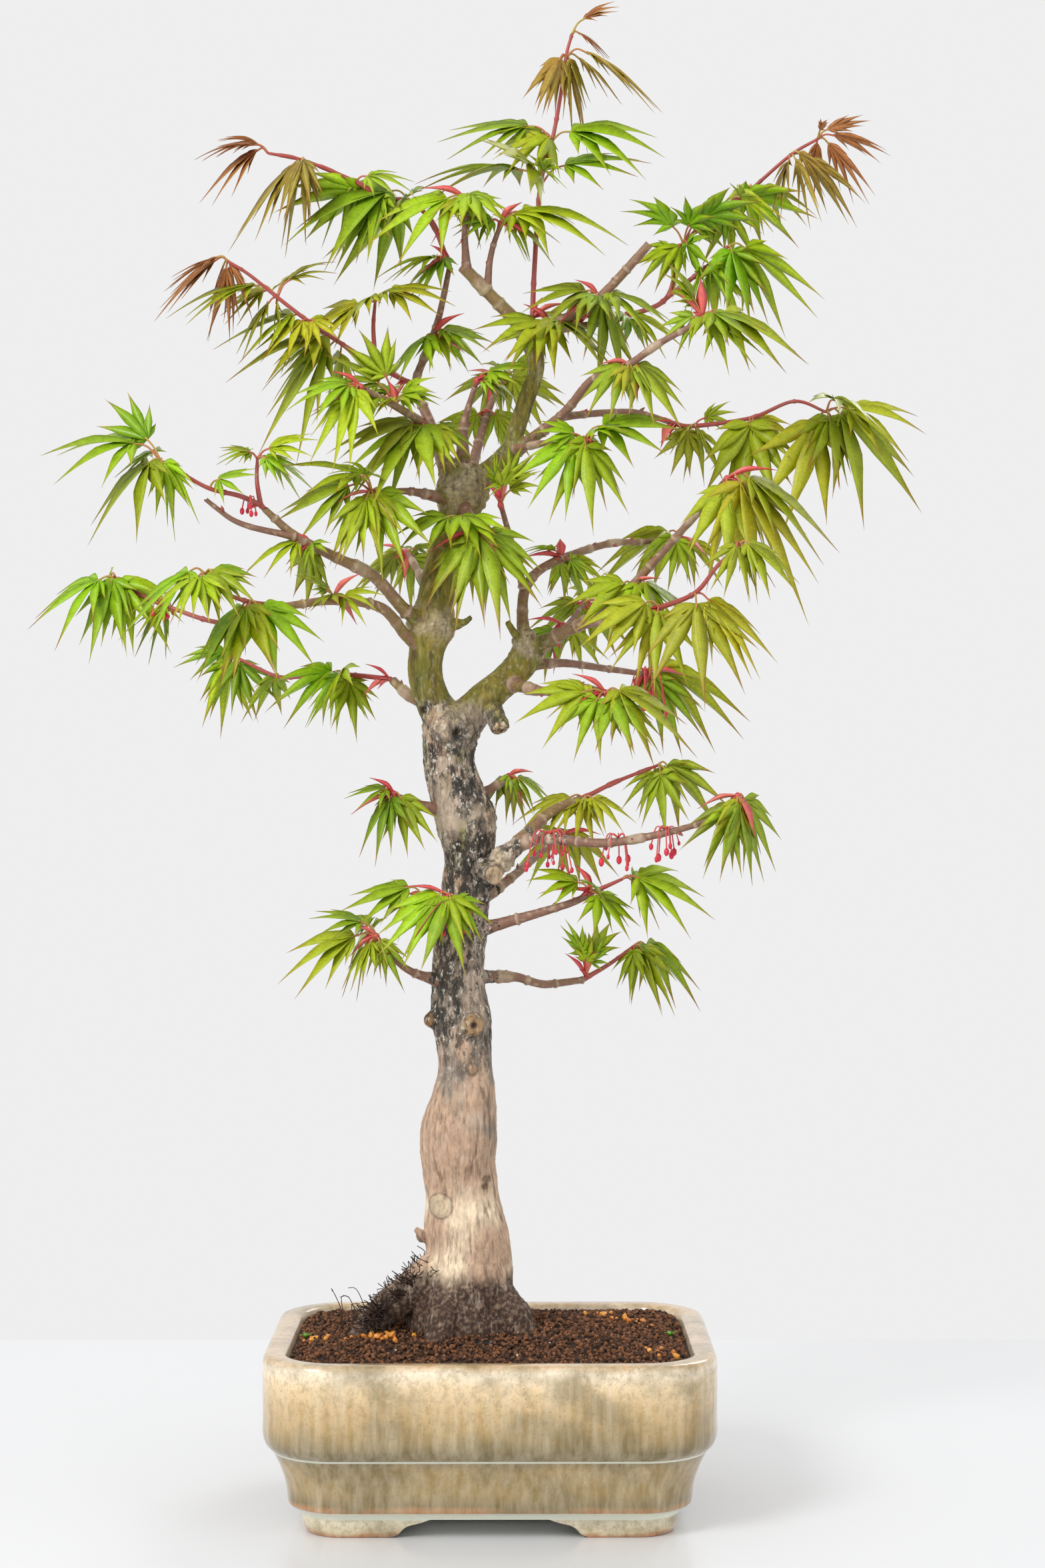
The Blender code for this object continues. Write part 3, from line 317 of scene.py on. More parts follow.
# Leaves in small sprays that grow straight from the wood: where, and the way to the tip of each leaf
SPRAYS = {
    "spray_top_right_end": (
        (103, -46, 587), ((-20, -8, 28), (-20, 8, -10), (22, -10, -22), (48, 2, -20)),
    ),
    "spray_crown_inner": ((5, -10, 641), ((55, -8, -8), (30, -22, -4), (-24, 12, -4))),
    "spray_crown_outer": ((-12, -15, 652), ((-40, -8, -22), (6, -28, -18), (10, 20, -14))),
    "spray_upright": ((-30, 17, 589), ((28, -18, -8), (-14, -20, -22))),
    "spray_left_fan": ((-47, -31, 547), ((-34, -10, 22), (-16, -16, 36), (-36, -18, -6), (20, -20, 6))),
    "spray_left_star": ((-30, -16, 538), ((-40, -24, -16), (-20, -34, -34), (6, -30, -24))),
    "spray_left_end": ((-63, -44, 554), ((-32, -12, -12), (-12, -18, -36))),
    "spray_centre": ((-7, -1, 564), ((27, -12, 4), (20, 14, -8))),
    "spray_crown_front": ((30, 5, 592), ((-30, -26, -14), (-8, -34, -24), (20, -32, -22))),
    "spray_stub": ((54, -7, 605), ((-34, -14, -8), (12, 8, -42), (32, -18, -16))),
    "spray_right_side": ((68, -31, 567), ((-18, -12, -24), (20, -10, -26))),
    "spray_right_low": ((46, -26, 531), ((46, -10, 2), (-24, -6, 4), (-24, -16, -30), (4, -14, -38))),
    "spray_right_upper_end": ((99, 64, 492), ((-6, -12, -28), (-36, 12, -22), (20, 16, -22))),
    "spray_right_main_end": ((115, -48, 509), ((50, -6, -34), (30, -16, -58), (10, 12, -50))),
    "spray_right_main": ((70, -24, 459), ((34, -16, -28), (-24, -14, -20))),
    "spray_right_thin": ((80, 51, 420), ((20, 6, -36), (46, 10, -30))),
    "spray_right_front": (
        (55, -73, 404), ((-40, -12, -14), (-16, -18, -28), (34, -10, -24), (12, -24, -28)),
    ),
    "spray_left_front": (
        (-58, -34, 504), ((-14, -12, -32), (16, -16, -36), (-40, -8, 12), (-46, 6, -14)),
    ),
    "spray_front_low": ((-15, -22, 492), ((-28, -18, -14), (18, -22, -14))),
    "spray_front_high": ((-7, -27, 485), ((-10, -14, -38), (12, -18, -40), (24, -8, -26))),
    "spray_inner_upright": ((5, -14, 500), ((-4, -12, 26), (14, -8, 31), (4, -26, 20))),
    "spray_inner_right": ((36, 28, 477), ((-16, -18, 4), (18, -14, -12), (10, 16, -20))),
    "spray_left_upper": ((-88, -31, 478), ((-28, -16, -14), (-4, 16, -28))),
    "spray_left_middle": ((-76, -47, 451), ((22, -16, -6), (-14, -12, 12))),
    "spray_middle_left": ((-48, -16, 356), ((-23, -6, -2), (-9, -12, -27), (14, -14, -27))),
    "spray_middle_right": ((9, 13, 365), ((20, -6, -16), (4, 18, -22))),
    "spray_low_right_end": ((119, -62, 355), ((-15, -6, -32), (5, -12, -38), (16, 8, -32))),
    "spray_low_left": (
        (-56, -30, 286), ((-46, -4, -18), (-12, -14, -24), (12, 8, -24), (-30, -10, 10)),
    ),
    "spray_low_left_front": ((-34, -18, 306), ((-36, -6, -6), (-10, -14, -18))),
    "spray_low_front": ((-20, -42, 306), ((-28, -8, -26), (-8, -18, -32), (14, -10, -20))),
    "spray_low_back": ((38, 77, 335), ((18, 18, -24), (-14, 20, -24), (6, 28, -2))),
    "spray_left_back": ((-45, 75, 484), ((-26, 14, -22), (10, 22, -26), (-8, 26, 4))),
    "spray_top_back": ((5, 89, 578), ((-22, 24, -14), (22, 26, -16), (0, 31, 12))),
    "spray_top_back_inner": ((-3, 60, 557), ((-24, 10, -22), (20, 14, -20))),
    "spray_right_back": ((50, 99.5, 460), ((16, 18, -26), (-22, 14, -22), (8, 19, 16))),
    "spray_right_back_inner": ((38, 78, 446), ((-22, 12, -22), (20, 8, -22))),
    "spray_crown_right": ((42, 15, 594), ((20, 20, 16), (-10, 26, 8))),
}

# Leaf: the angle of each lobe from the middle one, in degrees, and its share of the leaf's length
PETIOLE_SHARE = 0.2

# ---------------------------------------------------------------------------------------------
# Colours


def tint(code):
    """A colour written as six hexadecimal digits, as linear red, green and blue."""
    channels = [int(code[i : i + 2], 16) / 255 for i in (0, 2, 4)]
    return Vector([c / 12.92 if c <= 0.04045 else ((c + 0.055) / 1.055) ** 2.4 for c in channels])


def mix(first, second, share):
    """A blend of two colours or points, with share running from the first to the second."""
    share = min(max(share, 0.0), 1.0)
    return first * (1.0 - share) + second * share


def step(low, high, value):
    """0 below low, 1 above high, and a smooth rise between."""
    share = min(max((value - low) / (high - low), 0.0), 1.0)
    return share * share * (3.0 - 2.0 * share)


def grain(point, size, stretch=1.0, seed=0.0):
    """Noise from -1 to 1 with features of this size in millimetres, drawn out along Z by stretch."""
    return noise.noise(Vector((point[0] / size + seed, point[1] / size, point[2] / (size * stretch))))


def patches(point, size, stretch=1.0, seed=0.0):
    """Broken-up noise, about -1 to 1, for blotches with ragged edges."""
    return noise.fractal(
        Vector((point[0] / size + seed, point[1] / size, point[2] / (size * stretch))), 1.0, 2.0, 3
    )


# ---------------------------------------------------------------------------------------------
# Meshes


class Build:
    """A mesh in the making: its points in millimetres, a colour for each point, and its faces."""

    def __init__(self):
        self.points = []
        self.tones = []
        self.faces = []
        self.marks = []
        self.veins = []

    def add(self, points, faces, tones, mark=0, veins=None):
        """Adds a shape, with mark as the place of its material in the piece's list."""
        start = len(self.points)
        self.points += [tuple(p) for p in points]
        self.tones += [tuple(t) for t in tones]
        self.faces += [tuple(start + i for i in face) for face in faces]
        self.marks += [mark] * len(faces)
        self.veins += veins or [(0.5, 0.0, 0.0)] * len(points)

    def make(self, name, materials, smooth=True):
        """The finished object, in metres."""
        mesh = bpy.data.meshes.new(name)
        mesh.from_pydata([(x * MM, y * MM, z * MM) for x, y, z in self.points], [], self.faces)
        for finish in materials:
            mesh.materials.append(finish)
        mesh.polygons.foreach_set("material_index", self.marks)
        layer = mesh.color_attributes.new("tone", "FLOAT_COLOR", "POINT")
        values = np.ones((len(self.points), 4), np.float32)
        values[:, :3] = self.tones
        layer.data.foreach_set("color", values.ravel())
        veins = mesh.attributes.new("vein", "FLOAT_VECTOR", "POINT")
        veins.data.foreach_set("vector", np.array(self.veins, np.float32).ravel())
        mesh.polygons.foreach_set("use_smooth", [smooth] * len(self.faces))
        mesh.update()
        return link(name, mesh)


def link(name, mesh):
    """A new object in the scene."""
    obj = bpy.data.objects.new(name, mesh)
    bpy.context.scene.collection.objects.link(obj)
    return obj


def settle(piece, slot, *nodes):
    """Fixes a piece to the part and hides the CAD nodes that it stands for."""
    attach(piece, "root")
    if nodes:
        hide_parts(*nodes)


def curve_through(line, spacing):
    """Points every few millimetres on a smooth curve through (x, y, z, radius) points."""
    knots = [Vector(p) for p in line]
    knots = [knots[0] * 2 - knots[1]] + knots + [knots[-1] * 2 - knots[-2]]
    dense = []
    for before, start, end, after in zip(knots, knots[1:], knots[2:], knots[3:]):
        count = max(1, round((end - start).to_3d().length / spacing))
        for i in range(count):
            t = i / count
            dense.append(
                0.5
                * (
                    start * 2
                    + (end - before) * t
                    + (before * 2 - start * 5 + end * 4 - after) * t * t
                    + (start * 3 - before - end * 3 + after) * t * t * t
                )
            )
    dense.append(knots[-2])
    return dense


def tube(line, sides, wobble=0.0, seed=0.0):
    """Rings of points and their faces along (x, y, z, radius) points, closed at both ends."""
    middle = [Vector(p[:3]) for p in line]
    across = Vector((0.0, -1.0, 0.05))
    points = []
    faces = []
    last = len(middle) - 1
    for i, point in enumerate(middle):
        ahead = middle[min(i + 1, last)] - middle[max(i - 1, 0)]
        if ahead.length < 1e-6:
            ahead = UP.copy()
        ahead.normalize()
        across = across - ahead * across.dot(ahead)
        across.normalize()
        up = ahead.cross(across)
        for k in range(sides):
            angle = 2 * math.pi * k / sides
            heading = across * math.cos(angle) + up * math.sin(angle)
            radius = line[i][3]
            if wobble:
                radius *= 1.0 + wobble * grain(point + heading * radius, max(3.0, radius * 1.6), 1.5, seed)
            points.append(point + heading * radius)
    for i in range(last):
        for k in range(sides):
            after = (k + 1) % sides
            faces.append((i * sides + k, i * sides + after, (i + 1) * sides + after, (i + 1) * sides + k))
    faces.append(tuple(reversed(range(sides))))
    faces.append(tuple(range(last * sides, (last + 1) * sides)))
    return points, faces


def ball(centre, radii, turn=None, level=2):
    """A subdivided icosahedron stretched to three radii."""
    shape = bmesh.new()
    bmesh.ops.create_icosphere(shape, subdivisions=level, radius=1.0)
    points = []
    for vertex in shape.verts:
        offset = Vector([c * r for c, r in zip(vertex.co, radii)])
        points.append(Vector(centre) + (turn @ offset if turn else offset))
    faces = [tuple(v.index for v in face.verts) for face in shape.faces]
    shape.free()
    return points, faces


# ---------------------------------------------------------------------------------------------
# Materials


def new_material(name, roughness, **inputs):
    made = bpy.data.materials.new(name)
    made.use_nodes = True
    nodes = made.node_tree.nodes
    shader = nodes["Principled BSDF"]
    shader.inputs["Roughness"].default_value = roughness
    for key, value in inputs.items():
        shader.inputs[key.replace("_", " ")].default_value = value
    return made, nodes, made.node_tree.links, shader


def noise_node(nodes, links, scale, detail=4.0, stretch=(1.0, 1.0, 1.0), roughness=0.5):
    place = nodes.new("ShaderNodeTexCoord")
    mapping = nodes.new("ShaderNodeMapping")
    mapping.inputs["Scale"].default_value = stretch
    texture = nodes.new("ShaderNodeTexNoise")
    texture.inputs["Scale"].default_value = scale
    texture.inputs["Detail"].default_value = detail
    texture.inputs["Roughness"].default_value = roughness
    links.new(place.outputs["Object"], mapping.inputs["Vector"])
    links.new(mapping.outputs["Vector"], texture.inputs["Vector"])
    return texture


def ramp_node(nodes, links, source, stops):
    """A colour ramp; each stop is a place from 0 to 1 and a grey value or a colour."""
    ramp = nodes.new("ShaderNodeValToRGB")
    elements = ramp.color_ramp.elements
    while len(elements) < len(stops):
        elements.new(0.5)
    for element, (place, value) in zip(elements, stops):
        element.position = place
        element.color = (value, value, value, 1.0) if isinstance(value, float) else (*value, 1.0)
    links.new(source, ramp.inputs["Fac"])
    return ramp.outputs["Color"]


def tone_material(name, roughness, fine, strength, bump, stretch=(1.0, 1.0, 1.0), rough_range=0.1, **inputs):
    """A material that takes its colour from the mesh, with fine noise in its colour, gloss and relief."""
    made, nodes, links, shader = new_material(name, roughness, **inputs)
    tone = nodes.new("ShaderNodeAttribute")
    tone.attribute_name = "tone"
    speckle = noise_node(nodes, links, fine, 5.0, stretch, 0.6)
    shade = ramp_node(nodes, links, speckle.outputs["Fac"], ((0.3, 1.0 - strength), (0.7, 1.0 + strength)))
    multiply = nodes.new("ShaderNodeMix")
    multiply.data_type = "RGBA"
    multiply.blend_type = "MULTIPLY"
    multiply.inputs[0].default_value = 1.0
    links.new(tone.outputs["Color"], multiply.inputs[6])
    links.new(shade, multiply.inputs[7])
    links.new(multiply.outputs[2], shader.inputs["Base Color"])
    gloss = nodes.new("ShaderNodeMapRange")
    gloss.inputs["To Min"].default_value = roughness - rough_range
    gloss.inputs["To Max"].default_value = roughness + rough_range
    links.new(speckle.outputs["Fac"], gloss.inputs["Value"])
    links.new(gloss.outputs["Result"], shader.inputs["Roughness"])
    relief = nodes.new("ShaderNodeBump")
    relief.inputs["Strength"].default_value = 0.8
    relief.inputs["Distance"].default_value = bump * MM
    links.new(speckle.outputs["Fac"], relief.inputs["Height"])
    links.new(relief.outputs["Normal"], shader.inputs["Normal"])
    return made


def colour_links(material):
    """A material's nodes and links, and the link that carries its base colour."""
    nodes, links = material.node_tree.nodes, material.node_tree.links
    shader = nodes["Principled BSDF"]
    return nodes, links, shader, shader.inputs["Base Color"].links[0].from_socket


def over(nodes, links, base, share, most, second, alpha=None):
    """Lays a fixed colour over a colour socket where share is high, up to a share of most."""
    strength = nodes.new("ShaderNodeMath")
    strength.operation = "MULTIPLY"
    strength.inputs[1].default_value = most
    links.new(share, strength.inputs[0])
    amount = strength.outputs["Value"]
    if alpha is not None:
        kept = nodes.new("ShaderNodeMath")
        kept.operation = "MULTIPLY"
        links.new(amount, kept.inputs[0])
        links.new(alpha, kept.inputs[1])
        amount = kept.outputs["Value"]
    node = nodes.new("ShaderNodeMix")
    node.data_type = "RGBA"
    links.new(amount, node.inputs[0])
    links.new(base, node.inputs[6])
    node.inputs[7].default_value = (*second, 1.0)
    return node.outputs[2]


def bark_material():
    """Bark with fine upright cracks, and black and white lichen where the mesh's colour has alpha."""
    made = tone_material("bark", 0.8, 500.0, 0.3, 0.7, (1.0, 1.0, 0.35))
    nodes, links, shader, colour = colour_links(made)
    amount = next(node for node in nodes if node.bl_idname == "ShaderNodeAttribute").outputs["Alpha"]
    crack = noise_node(nodes, links, 330.0, 4.0, (1.0, 1.0, 0.13), 0.65)
    lines = ramp_node(nodes, links, crack.outputs["Fac"], ((0.52, 0.0), (0.66, 1.0)))
    colour = over(nodes, links, colour, lines, 0.6, tint("4A3424"))
    pale = ramp_node(nodes, links, crack.outputs["Fac"], ((0.3, 1.0), (0.44, 0.0)))
    colour = over(nodes, links, colour, pale, 0.35, tint("E6D6BE"))
    black = noise_node(nodes, links, 300.0, 7.0, (1.0, 1.0, 0.5), 0.75)
    spots = ramp_node(nodes, links, black.outputs["Fac"], ((0.475, 0.0), (0.545, 1.0)))
    colour = over(nodes, links, colour, spots, 0.88, tint("221F1A"), amount)
    white = noise_node(nodes, links, 430.0, 6.0, (1.0, 1.0, 0.6), 0.7)
    flecks = ramp_node(nodes, links, white.outputs["Fac"], ((0.56, 0.0), (0.62, 1.0)))
    colour = over(nodes, links, colour, flecks, 0.8, tint("DCD6C8"), amount)
    links.new(colour, shader.inputs["Base Color"])
    return made


def leaf_material():
    """A leaf's skin, with a midrib and slanting side veins drawn from the mesh's vein coordinates."""
    made = tone_material("leaf", 0.4, 260.0, 0.18, 0.12, rough_range=0.08)
    nodes, links, shader, colour = colour_links(made)
    place = nodes.new("ShaderNodeAttribute")
    place.attribute_name = "vein"
    split = nodes.new("ShaderNodeSeparateXYZ")
    links.new(place.outputs["Vector"], split.inputs["Vector"])
    rib = ramp_node(nodes, links, split.outputs["X"], ((0.0, 1.0), (0.1, 0.8), (0.16, 0.0)))
    slant = nodes.new("ShaderNodeMath")
    slant.operation = "MULTIPLY_ADD"
    links.new(split.outputs["X"], slant.inputs[0])
    slant.inputs[1].default_value = -3.0
    links.new(split.outputs["Y"], slant.inputs[2])
    wave = nodes.new("ShaderNodeMath")
    wave.operation = "PINGPONG"
    links.new(slant.outputs["Value"], wave.inputs[0])
    wave.inputs[1].default_value = 1.1
    side = ramp_node(nodes, links, wave.outputs["Value"], ((0.0, 1.0), (0.16, 0.7), (0.4, 0.0)))
    colour = over(nodes, links, colour, side, 0.15, tint("35560C"))
    colour = over(nodes, links, colour, rib, 0.5, tint("A8B83C"))
    links.new(colour, shader.inputs["Base Color"])
    shader.inputs["Specular IOR Level"].default_value = 0.35
    return made


# ---------------------------------------------------------------------------------------------
# Wood

DAMP_BARK = tint("3A2418")
# Pale cream bark, which is also a painted highlight on the low trunk
CREAM_BARK_AND_HIGHLIGHT = tint("F0DABA")
TAN_BARK = tint("BC9C82")
GREY_BARK = tint("8C7E70")
DARK_LICHEN = tint("2A2822")
# Dark brown for the flecks in callus, and painted shade in the knot holes
KNOT_SHADE_AND_FLECK = tint("3A2416")
OLIVE_PATCH = tint("72702A")
OLIVE_STEM = tint("8C7A20")
CALLUS = tint("D3C0A2")
SMOOTH_BARK = tint("BCA793")
TWIG = tint("85604E")
TWIG_GREEN = tint("8A7440")
YOUNG_STEM = tint("A8403C")

# Places on the trunk: centre, reach of the effect, how far the surface rises there, and its colour
TRUNK_MARKS = (
    ((-33, -4, 242.5), 6.5, 4.5, tint("A27A50")),
    ((-9, -15.5, 241), 6.0, 2.4, tint("B8946A")),
    ((-9.5, -14, 219), 3.0, 1.2, tint("A58262")),
    ((-25, -15.5, 151), 6.0, 0.9, tint("D2BC9C")),
    ((-35.5, -2, 134), 3.4, 1.8, TAN_BARK),
    ((-2, -19, 164), 1.7, -0.5, tint("97765A")),
    ((-3, -19, 160.5), 1.3, -0.5, tint("8A6A4E")),
    ((-16, -14, 386), 3.2, -1.2, DARK_LICHEN),
    ((-24, -13, 378), 2.6, 0.9, TAN_BARK),
    ((5, -12, 388), 4.4, 0.0, tint("C8AA84")),
    ((2, -23, 316), 4.8, 0.4, tint("CDB08A")),
)
FRONT_MARK = -10.0
KNOT_HOLES = (((-9, -17.5, 241), 1.7, 1.5), ((-16, -15.5, 387), 2.0, 2.4), ((-33.5, -13, 398), 1.9, 2.0))
STUBS = (
    ((-26, -3, 440, 3.4), (-18, -6, 441, 3.0), (-13, -8, 442, 1.8), (-9.5, -9, 444.5, 1.4)),
    ((0, -5, 399, 5.5), (3, -9, 393, 4.9), (5, -12, 388, 4.6)),
    ((-5, -12, 319, 6.0), (0, -19, 317, 5.4), (2, -23, 316, 4.4)),
    ((17, 4, 431, 3.0), (12, 2, 437, 2.2), (8, 1, 443, 1.5)),
    ((-30, -3, 133, 4.0), (-35, -5, 136, 2.6), (-38, -5, 139, 1.6)),
)
COLLARS = (
    ((-19.5, 0, 389), 17.0, 6.0), ((-30, -1, 441), 15.0, 5.0), ((-14, 4, 510), 17.0, 8.0),
    ((19, 9, 431), 11.5, 4.5), ((20, 7, 588), 9.0, 4.5), ((5, -12, 322), 8.5, 5.0),
    ((-12, 0, 343), 17.5, 5.0),
)


def away_from(point, centre):
    """The distance to a mark, taken over the trunk's front for one that faces the front."""
    if centre[1] > FRONT_MARK:
        return (Vector(point) - Vector(centre)).length
    return math.hypot(point[0] - centre[0], point[2] - centre[2]) if point[1] < 0 else POT_LENGTH


def bark_tone(point):
    """The bark's colour at a place on the trunk or on a stem, with a painted highlight in the pale patches
    low on the trunk and painted shade in the knot holes.
    """
    x, z = point[0], point[2]
    edge = 5.0 * grain(point, 9.0) + 2.0 * grain(point, 3.0, 1.0, 4.0)
    fissure = grain(point, 1.6, 7.0, 2.0)
    # Pale cream patches low on the trunk: partly the bark's own pale tone, partly a painted highlight
    cream = step(0.1, 0.75, 0.5 + 0.6 * patches(point, 22.0, 1.6, 5.0)) * (1.0 - step(146, 168, z + edge))
    tan = mix(TAN_BARK, CREAM_BARK_AND_HIGHLIGHT, cream)
    tan = mix(tan, TAN_BARK * 0.5, step(0.25, 0.7, fissure) * 0.55)
    grey = mix(GREY_BARK, TAN_BARK, step(0.0, 0.6, patches(point, 16.0, 1.5, 9.0)))
    grey = mix(grey, OLIVE_PATCH, step(0.1, 0.45, patches(point, 12.0, 2.2, 13.0)) * step(255, 300, z) * 0.8)
    rough = patches(point, 3.6, 1.8, 17.0) + 0.6 * patches(point, 26.0, 1.6, 21.0)
    grey = mix(grey, DARK_LICHEN, step(0.1, 0.42, rough) * step(215, 250, z + edge) * 0.9)
    smooth = step(0.05, 0.4, patches(point, 20.0, 1.3, 61.0) + 0.5 * step(322, 332, z) * step(350, 340, z))
    grey = mix(grey, SMOOTH_BARK, smooth * 0.85)
    tone = mix(tan, grey, step(186, 204, z + 2.0 * edge + 0.9 * (x + 14)))
    dry = 0.75 * step(-0.1, 0.5, patches(point, 1.6, 1.0, 71.0))
    tone = mix(mix(DAMP_BARK, TAN_BARK * 0.55, dry), tone, step(110, 122, z + edge))
    olive = mix(OLIVE_STEM, OLIVE_PATCH, 0.5 + 0.8 * grain(point, 7.0, 3.0, 3.0))
    olive = mix(olive, DARK_LICHEN, step(0.25, 0.5, patches(point, 2.4, 3.0, 12.0)) * 0.5)
    tone = mix(tone, olive, step(392, 406, z + edge))
    for centre, reach, _ in COLLARS:
        near = 1.0 - step(reach * 0.55, reach, (Vector(point) - Vector(centre)).length + edge * 0.5)
        callus = mix(CALLUS, GREY_BARK, 0.25 + 0.9 * grain(point, 2.2, 0.5, 8.0))
        callus = mix(callus, KNOT_SHADE_AND_FLECK, step(0.3, 0.6, grain(point, 1.5, 0.4, 33.0)) * 0.5)
        tone = mix(tone, callus, near)
    for centre, reach, _, shade in TRUNK_MARKS:
        away = away_from(point, centre) + 0.5 * grain(point, 2.2, 1.0, 6.0)
        rings = 0.5 + 0.5 * math.sin(away * 3.2)
        tone = mix(tone, mix(shade, shade * 0.6, rings * 0.6), 1.0 - step(reach * 0.75, reach * 1.05, away))
        tone = mix(tone, DARK_LICHEN, 0.6 * (1.0 - step(0.0, 0.9, abs(away - reach * 1.02))))
    # Dark brown in each recessed knot hole: the hole's darker wood and painted shade
    for centre, reach, _ in KNOT_HOLES:
        tone = mix(tone, KNOT_SHADE_AND_FLECK, 1.0 - step(reach * 0.6, reach * 1.3, away_from(point, centre)))
    return tone


def lichen(point):
    """How much black and white lichen the bark carries at a place, from 0 to 1."""
    z = point[2] + 6.0 * grain(point, 9.0)
    bare = step(0.1, 0.5, patches(point, 18.0, 1.4, 61.0))
    amount = 0.12 + 0.88 * step(205, 240, z) - 0.7 * bare * step(205, 240, z) - 0.75 * step(392, 410, z)
    for centre, reach, _ in COLLARS:
        amount -= 0.9 * (1.0 - step(reach * 0.6, reach, (Vector(point) - Vector(centre)).length))
    return min(max(amount, 0.0), 1.0)


def bark_rise(point):
    """How far the bark's surface stands out at a place, in millimetres."""
    z = point[2]
    low = 1.0 - step(380, 420, z)
    rise = 0.9 * low * patches(point, 17.0, 1.3, 41.0)
    rise += 0.32 * low * grain(point, 2.0, 6.0, 43.0)
    rise += 0.5 * low * step(215, 245, z) * abs(grain(point, 3.4, 1.6, 17.0))
    rise += 0.18 * grain(point, 1.5, 1.2, 47.0)
    for centre, reach, height, _ in TRUNK_MARKS:
        away = away_from(point, centre) / reach
        rise += height * (1.0 - step(0.5, 1.1, away))
    for centre, reach, depth in KNOT_HOLES:
        rise -= depth * (1.0 - step(0.3, 1.1, away_from(point, centre) / reach))
    for centre, reach, _ in COLLARS:
        away = (Vector(point) - Vector(centre)).length / reach
        rise += (1.0 - step(0.5, 1.1, away)) * (0.8 + 2.0 * patches(point, 4.5, 0.55, 51.0))
    return rise


def flared(line, factor=1.3, reach=7.0):
    """A limb's smooth line, made wider where it leaves its parent."""
    dense = curve_through(line, 1.6)
    travelled = 0.0
    for i, point in enumerate(dense):
        if i:
            travelled += (point.to_3d() - dense[i - 1].to_3d()).length
        point[3] *= 1.0 + (factor - 1.0) * math.exp(-travelled / reach * 1.6)
    return dense


def make_trunk(finish):
    """Trunk, surface roots and thick stems, fused into one skin and carved with bark."""
    shapes = [tube(curve_through(TRUNK, 4.0), 40, 0.03)]
    shapes += [tube(curve_through(root, 3.0), 24, 0.12, 3.0 + i) for i, root in enumerate(ROOTS)]
    for i, line in enumerate(LIMBS.values()):
        if line[0][3] >= 6:
            shapes.append(tube(curve_through(line, 2.5), 24, 0.05, i))
        else:
            near = flared(line)
            shapes.append(tube(near[: max(4, len(near) // 4)], 16, 0.04, i))
    shapes += [tube(curve_through(stub, 1.5), 18, 0.1) for stub in STUBS]
    whole = Build()
    for points, faces in shapes:
        whole.add(points, faces, [(1, 1, 1)] * len(points))
    obj = whole.make("trunk", [finish])
    fuse = obj.modifiers.new("Fuse", "REMESH")
    fuse.mode = "VOXEL"
    fuse.voxel_size = 0.85 * MM
    soften = obj.modifiers.new("Soften", "SMOOTH")
    soften.iterations = 3
    soften.factor = 0.5
    mesh = bpy.data.meshes.new_from_object(obj.evaluated_get(bpy.context.evaluated_depsgraph_get()))
    obj.modifiers.clear()
    obj.data = mesh
    normals = [v.normal.copy() for v in mesh.vertices]
    tones = np.ones((len(mesh.vertices), 4), np.float32)
    for vertex, normal in zip(mesh.vertices, normals):
        point = vertex.co / MM
        tones[vertex.index, :3] = bark_tone(point)
        tones[vertex.index, 3] = lichen(point)
        vertex.co += normal * bark_rise(point) * MM
    for old in list(mesh.color_attributes):
        mesh.color_attributes.remove(old)
    mesh.color_attributes.new("tone", "FLOAT_COLOR", "POINT").data.foreach_set("color", tones.ravel())
    mesh.polygons.foreach_set("use_smooth", [True] * len(mesh.polygons))
    mesh.update()
    settle(obj, "bark", "wood")


def noded(line, every, swell):
    """A twig's line with a raised ring at each of its nodes, and how near to a node each point is."""
    dense = curve_through(line, 1.3)
    rings = []
    travelled = 0.0
    for i, point in enumerate(dense):
        if i:
            travelled += (point.to_3d() - dense[i - 1].to_3d()).length
        shifted = travelled + 3.5 * math.sin(travelled * 0.3 + line[0][0])
        from_node = abs((shifted + every * 0.5) % every - every * 0.5)
        near = math.exp(-((from_node / 1.0) ** 2))
        point[3] *= 1.0 + swell * near
        rings.append(near)
    return dense, rings


TWIG_SIDES = 12


def twig_tones(points, radius, rings, sides):
    """A twig's colours, paler on its rings."""
    tones = []
    for i, point in enumerate(points):
        shade = mix(TWIG, TWIG_GREEN, step(1.8, 3.0, radius) * (0.6 + 0.8 * grain(point, 8.0, 1.0, 5.0)))
        shade = mix(shade, CALLUS, step(0.35, 0.6, patches(point, 2.5, 1.0, 9.0)) * 0.4)
        tones.append(mix(shade, CALLUS, rings[i // sides] * 0.5))
    return tones


def make_twigs(finish):
    """The thinner limbs, with rings, buds and short dead spurs at their nodes."""
    chance = random.Random(11)
    whole = Build()
    for i, line in enumerate(LIMBS.values()):
        if line[0][3] >= 6:
            continue
        dense, rings = noded(flared(line)[::5] + [Vector(line[-1])], 15.0 + 8.0 * chance.random(), 0.3)
        points, faces = tube(dense, TWIG_SIDES, 0.05, i)
        whole.add(points, faces, twig_tones(points, line[len(line) // 2][3], rings, TWIG_SIDES))
        for k in range(10, len(dense) - 3, 9):
            if chance.random() < 0.6:
                spur(whole, dense[k], dense[k + 1].to_3d() - dense[k].to_3d(), chance)
    settle(whole.make("twigs", [finish]), "bark")


def spur(whole, place, ahead, chance):
    """A bud or a short dead stub at a node of a twig."""
    ahead.normalize()
    around = Vector((chance.uniform(-1, 1), chance.uniform(-1, 1), chance.uniform(-1, 1)))
    heading = (around - ahead * around.dot(ahead)).normalized() + ahead * 0.9
    heading.normalize()
    base = place.to_3d() + heading * place[3] * 0.5
    length = chance.uniform(2.2, 4.5)
    line = []
    for t in (0, 0.3, 0.6, 0.85, 1):
        line.append((*(base + heading * length * t), 0.95 * math.sin(math.pi * (0.25 + 0.72 * t))))
    points, faces = tube(line, 7)
    shade = mix(TWIG, tint("A83A34"), chance.random())
    whole.add(points, faces, [shade] * len(points))


# ---------------------------------------------------------------------------------------------
# Leaves

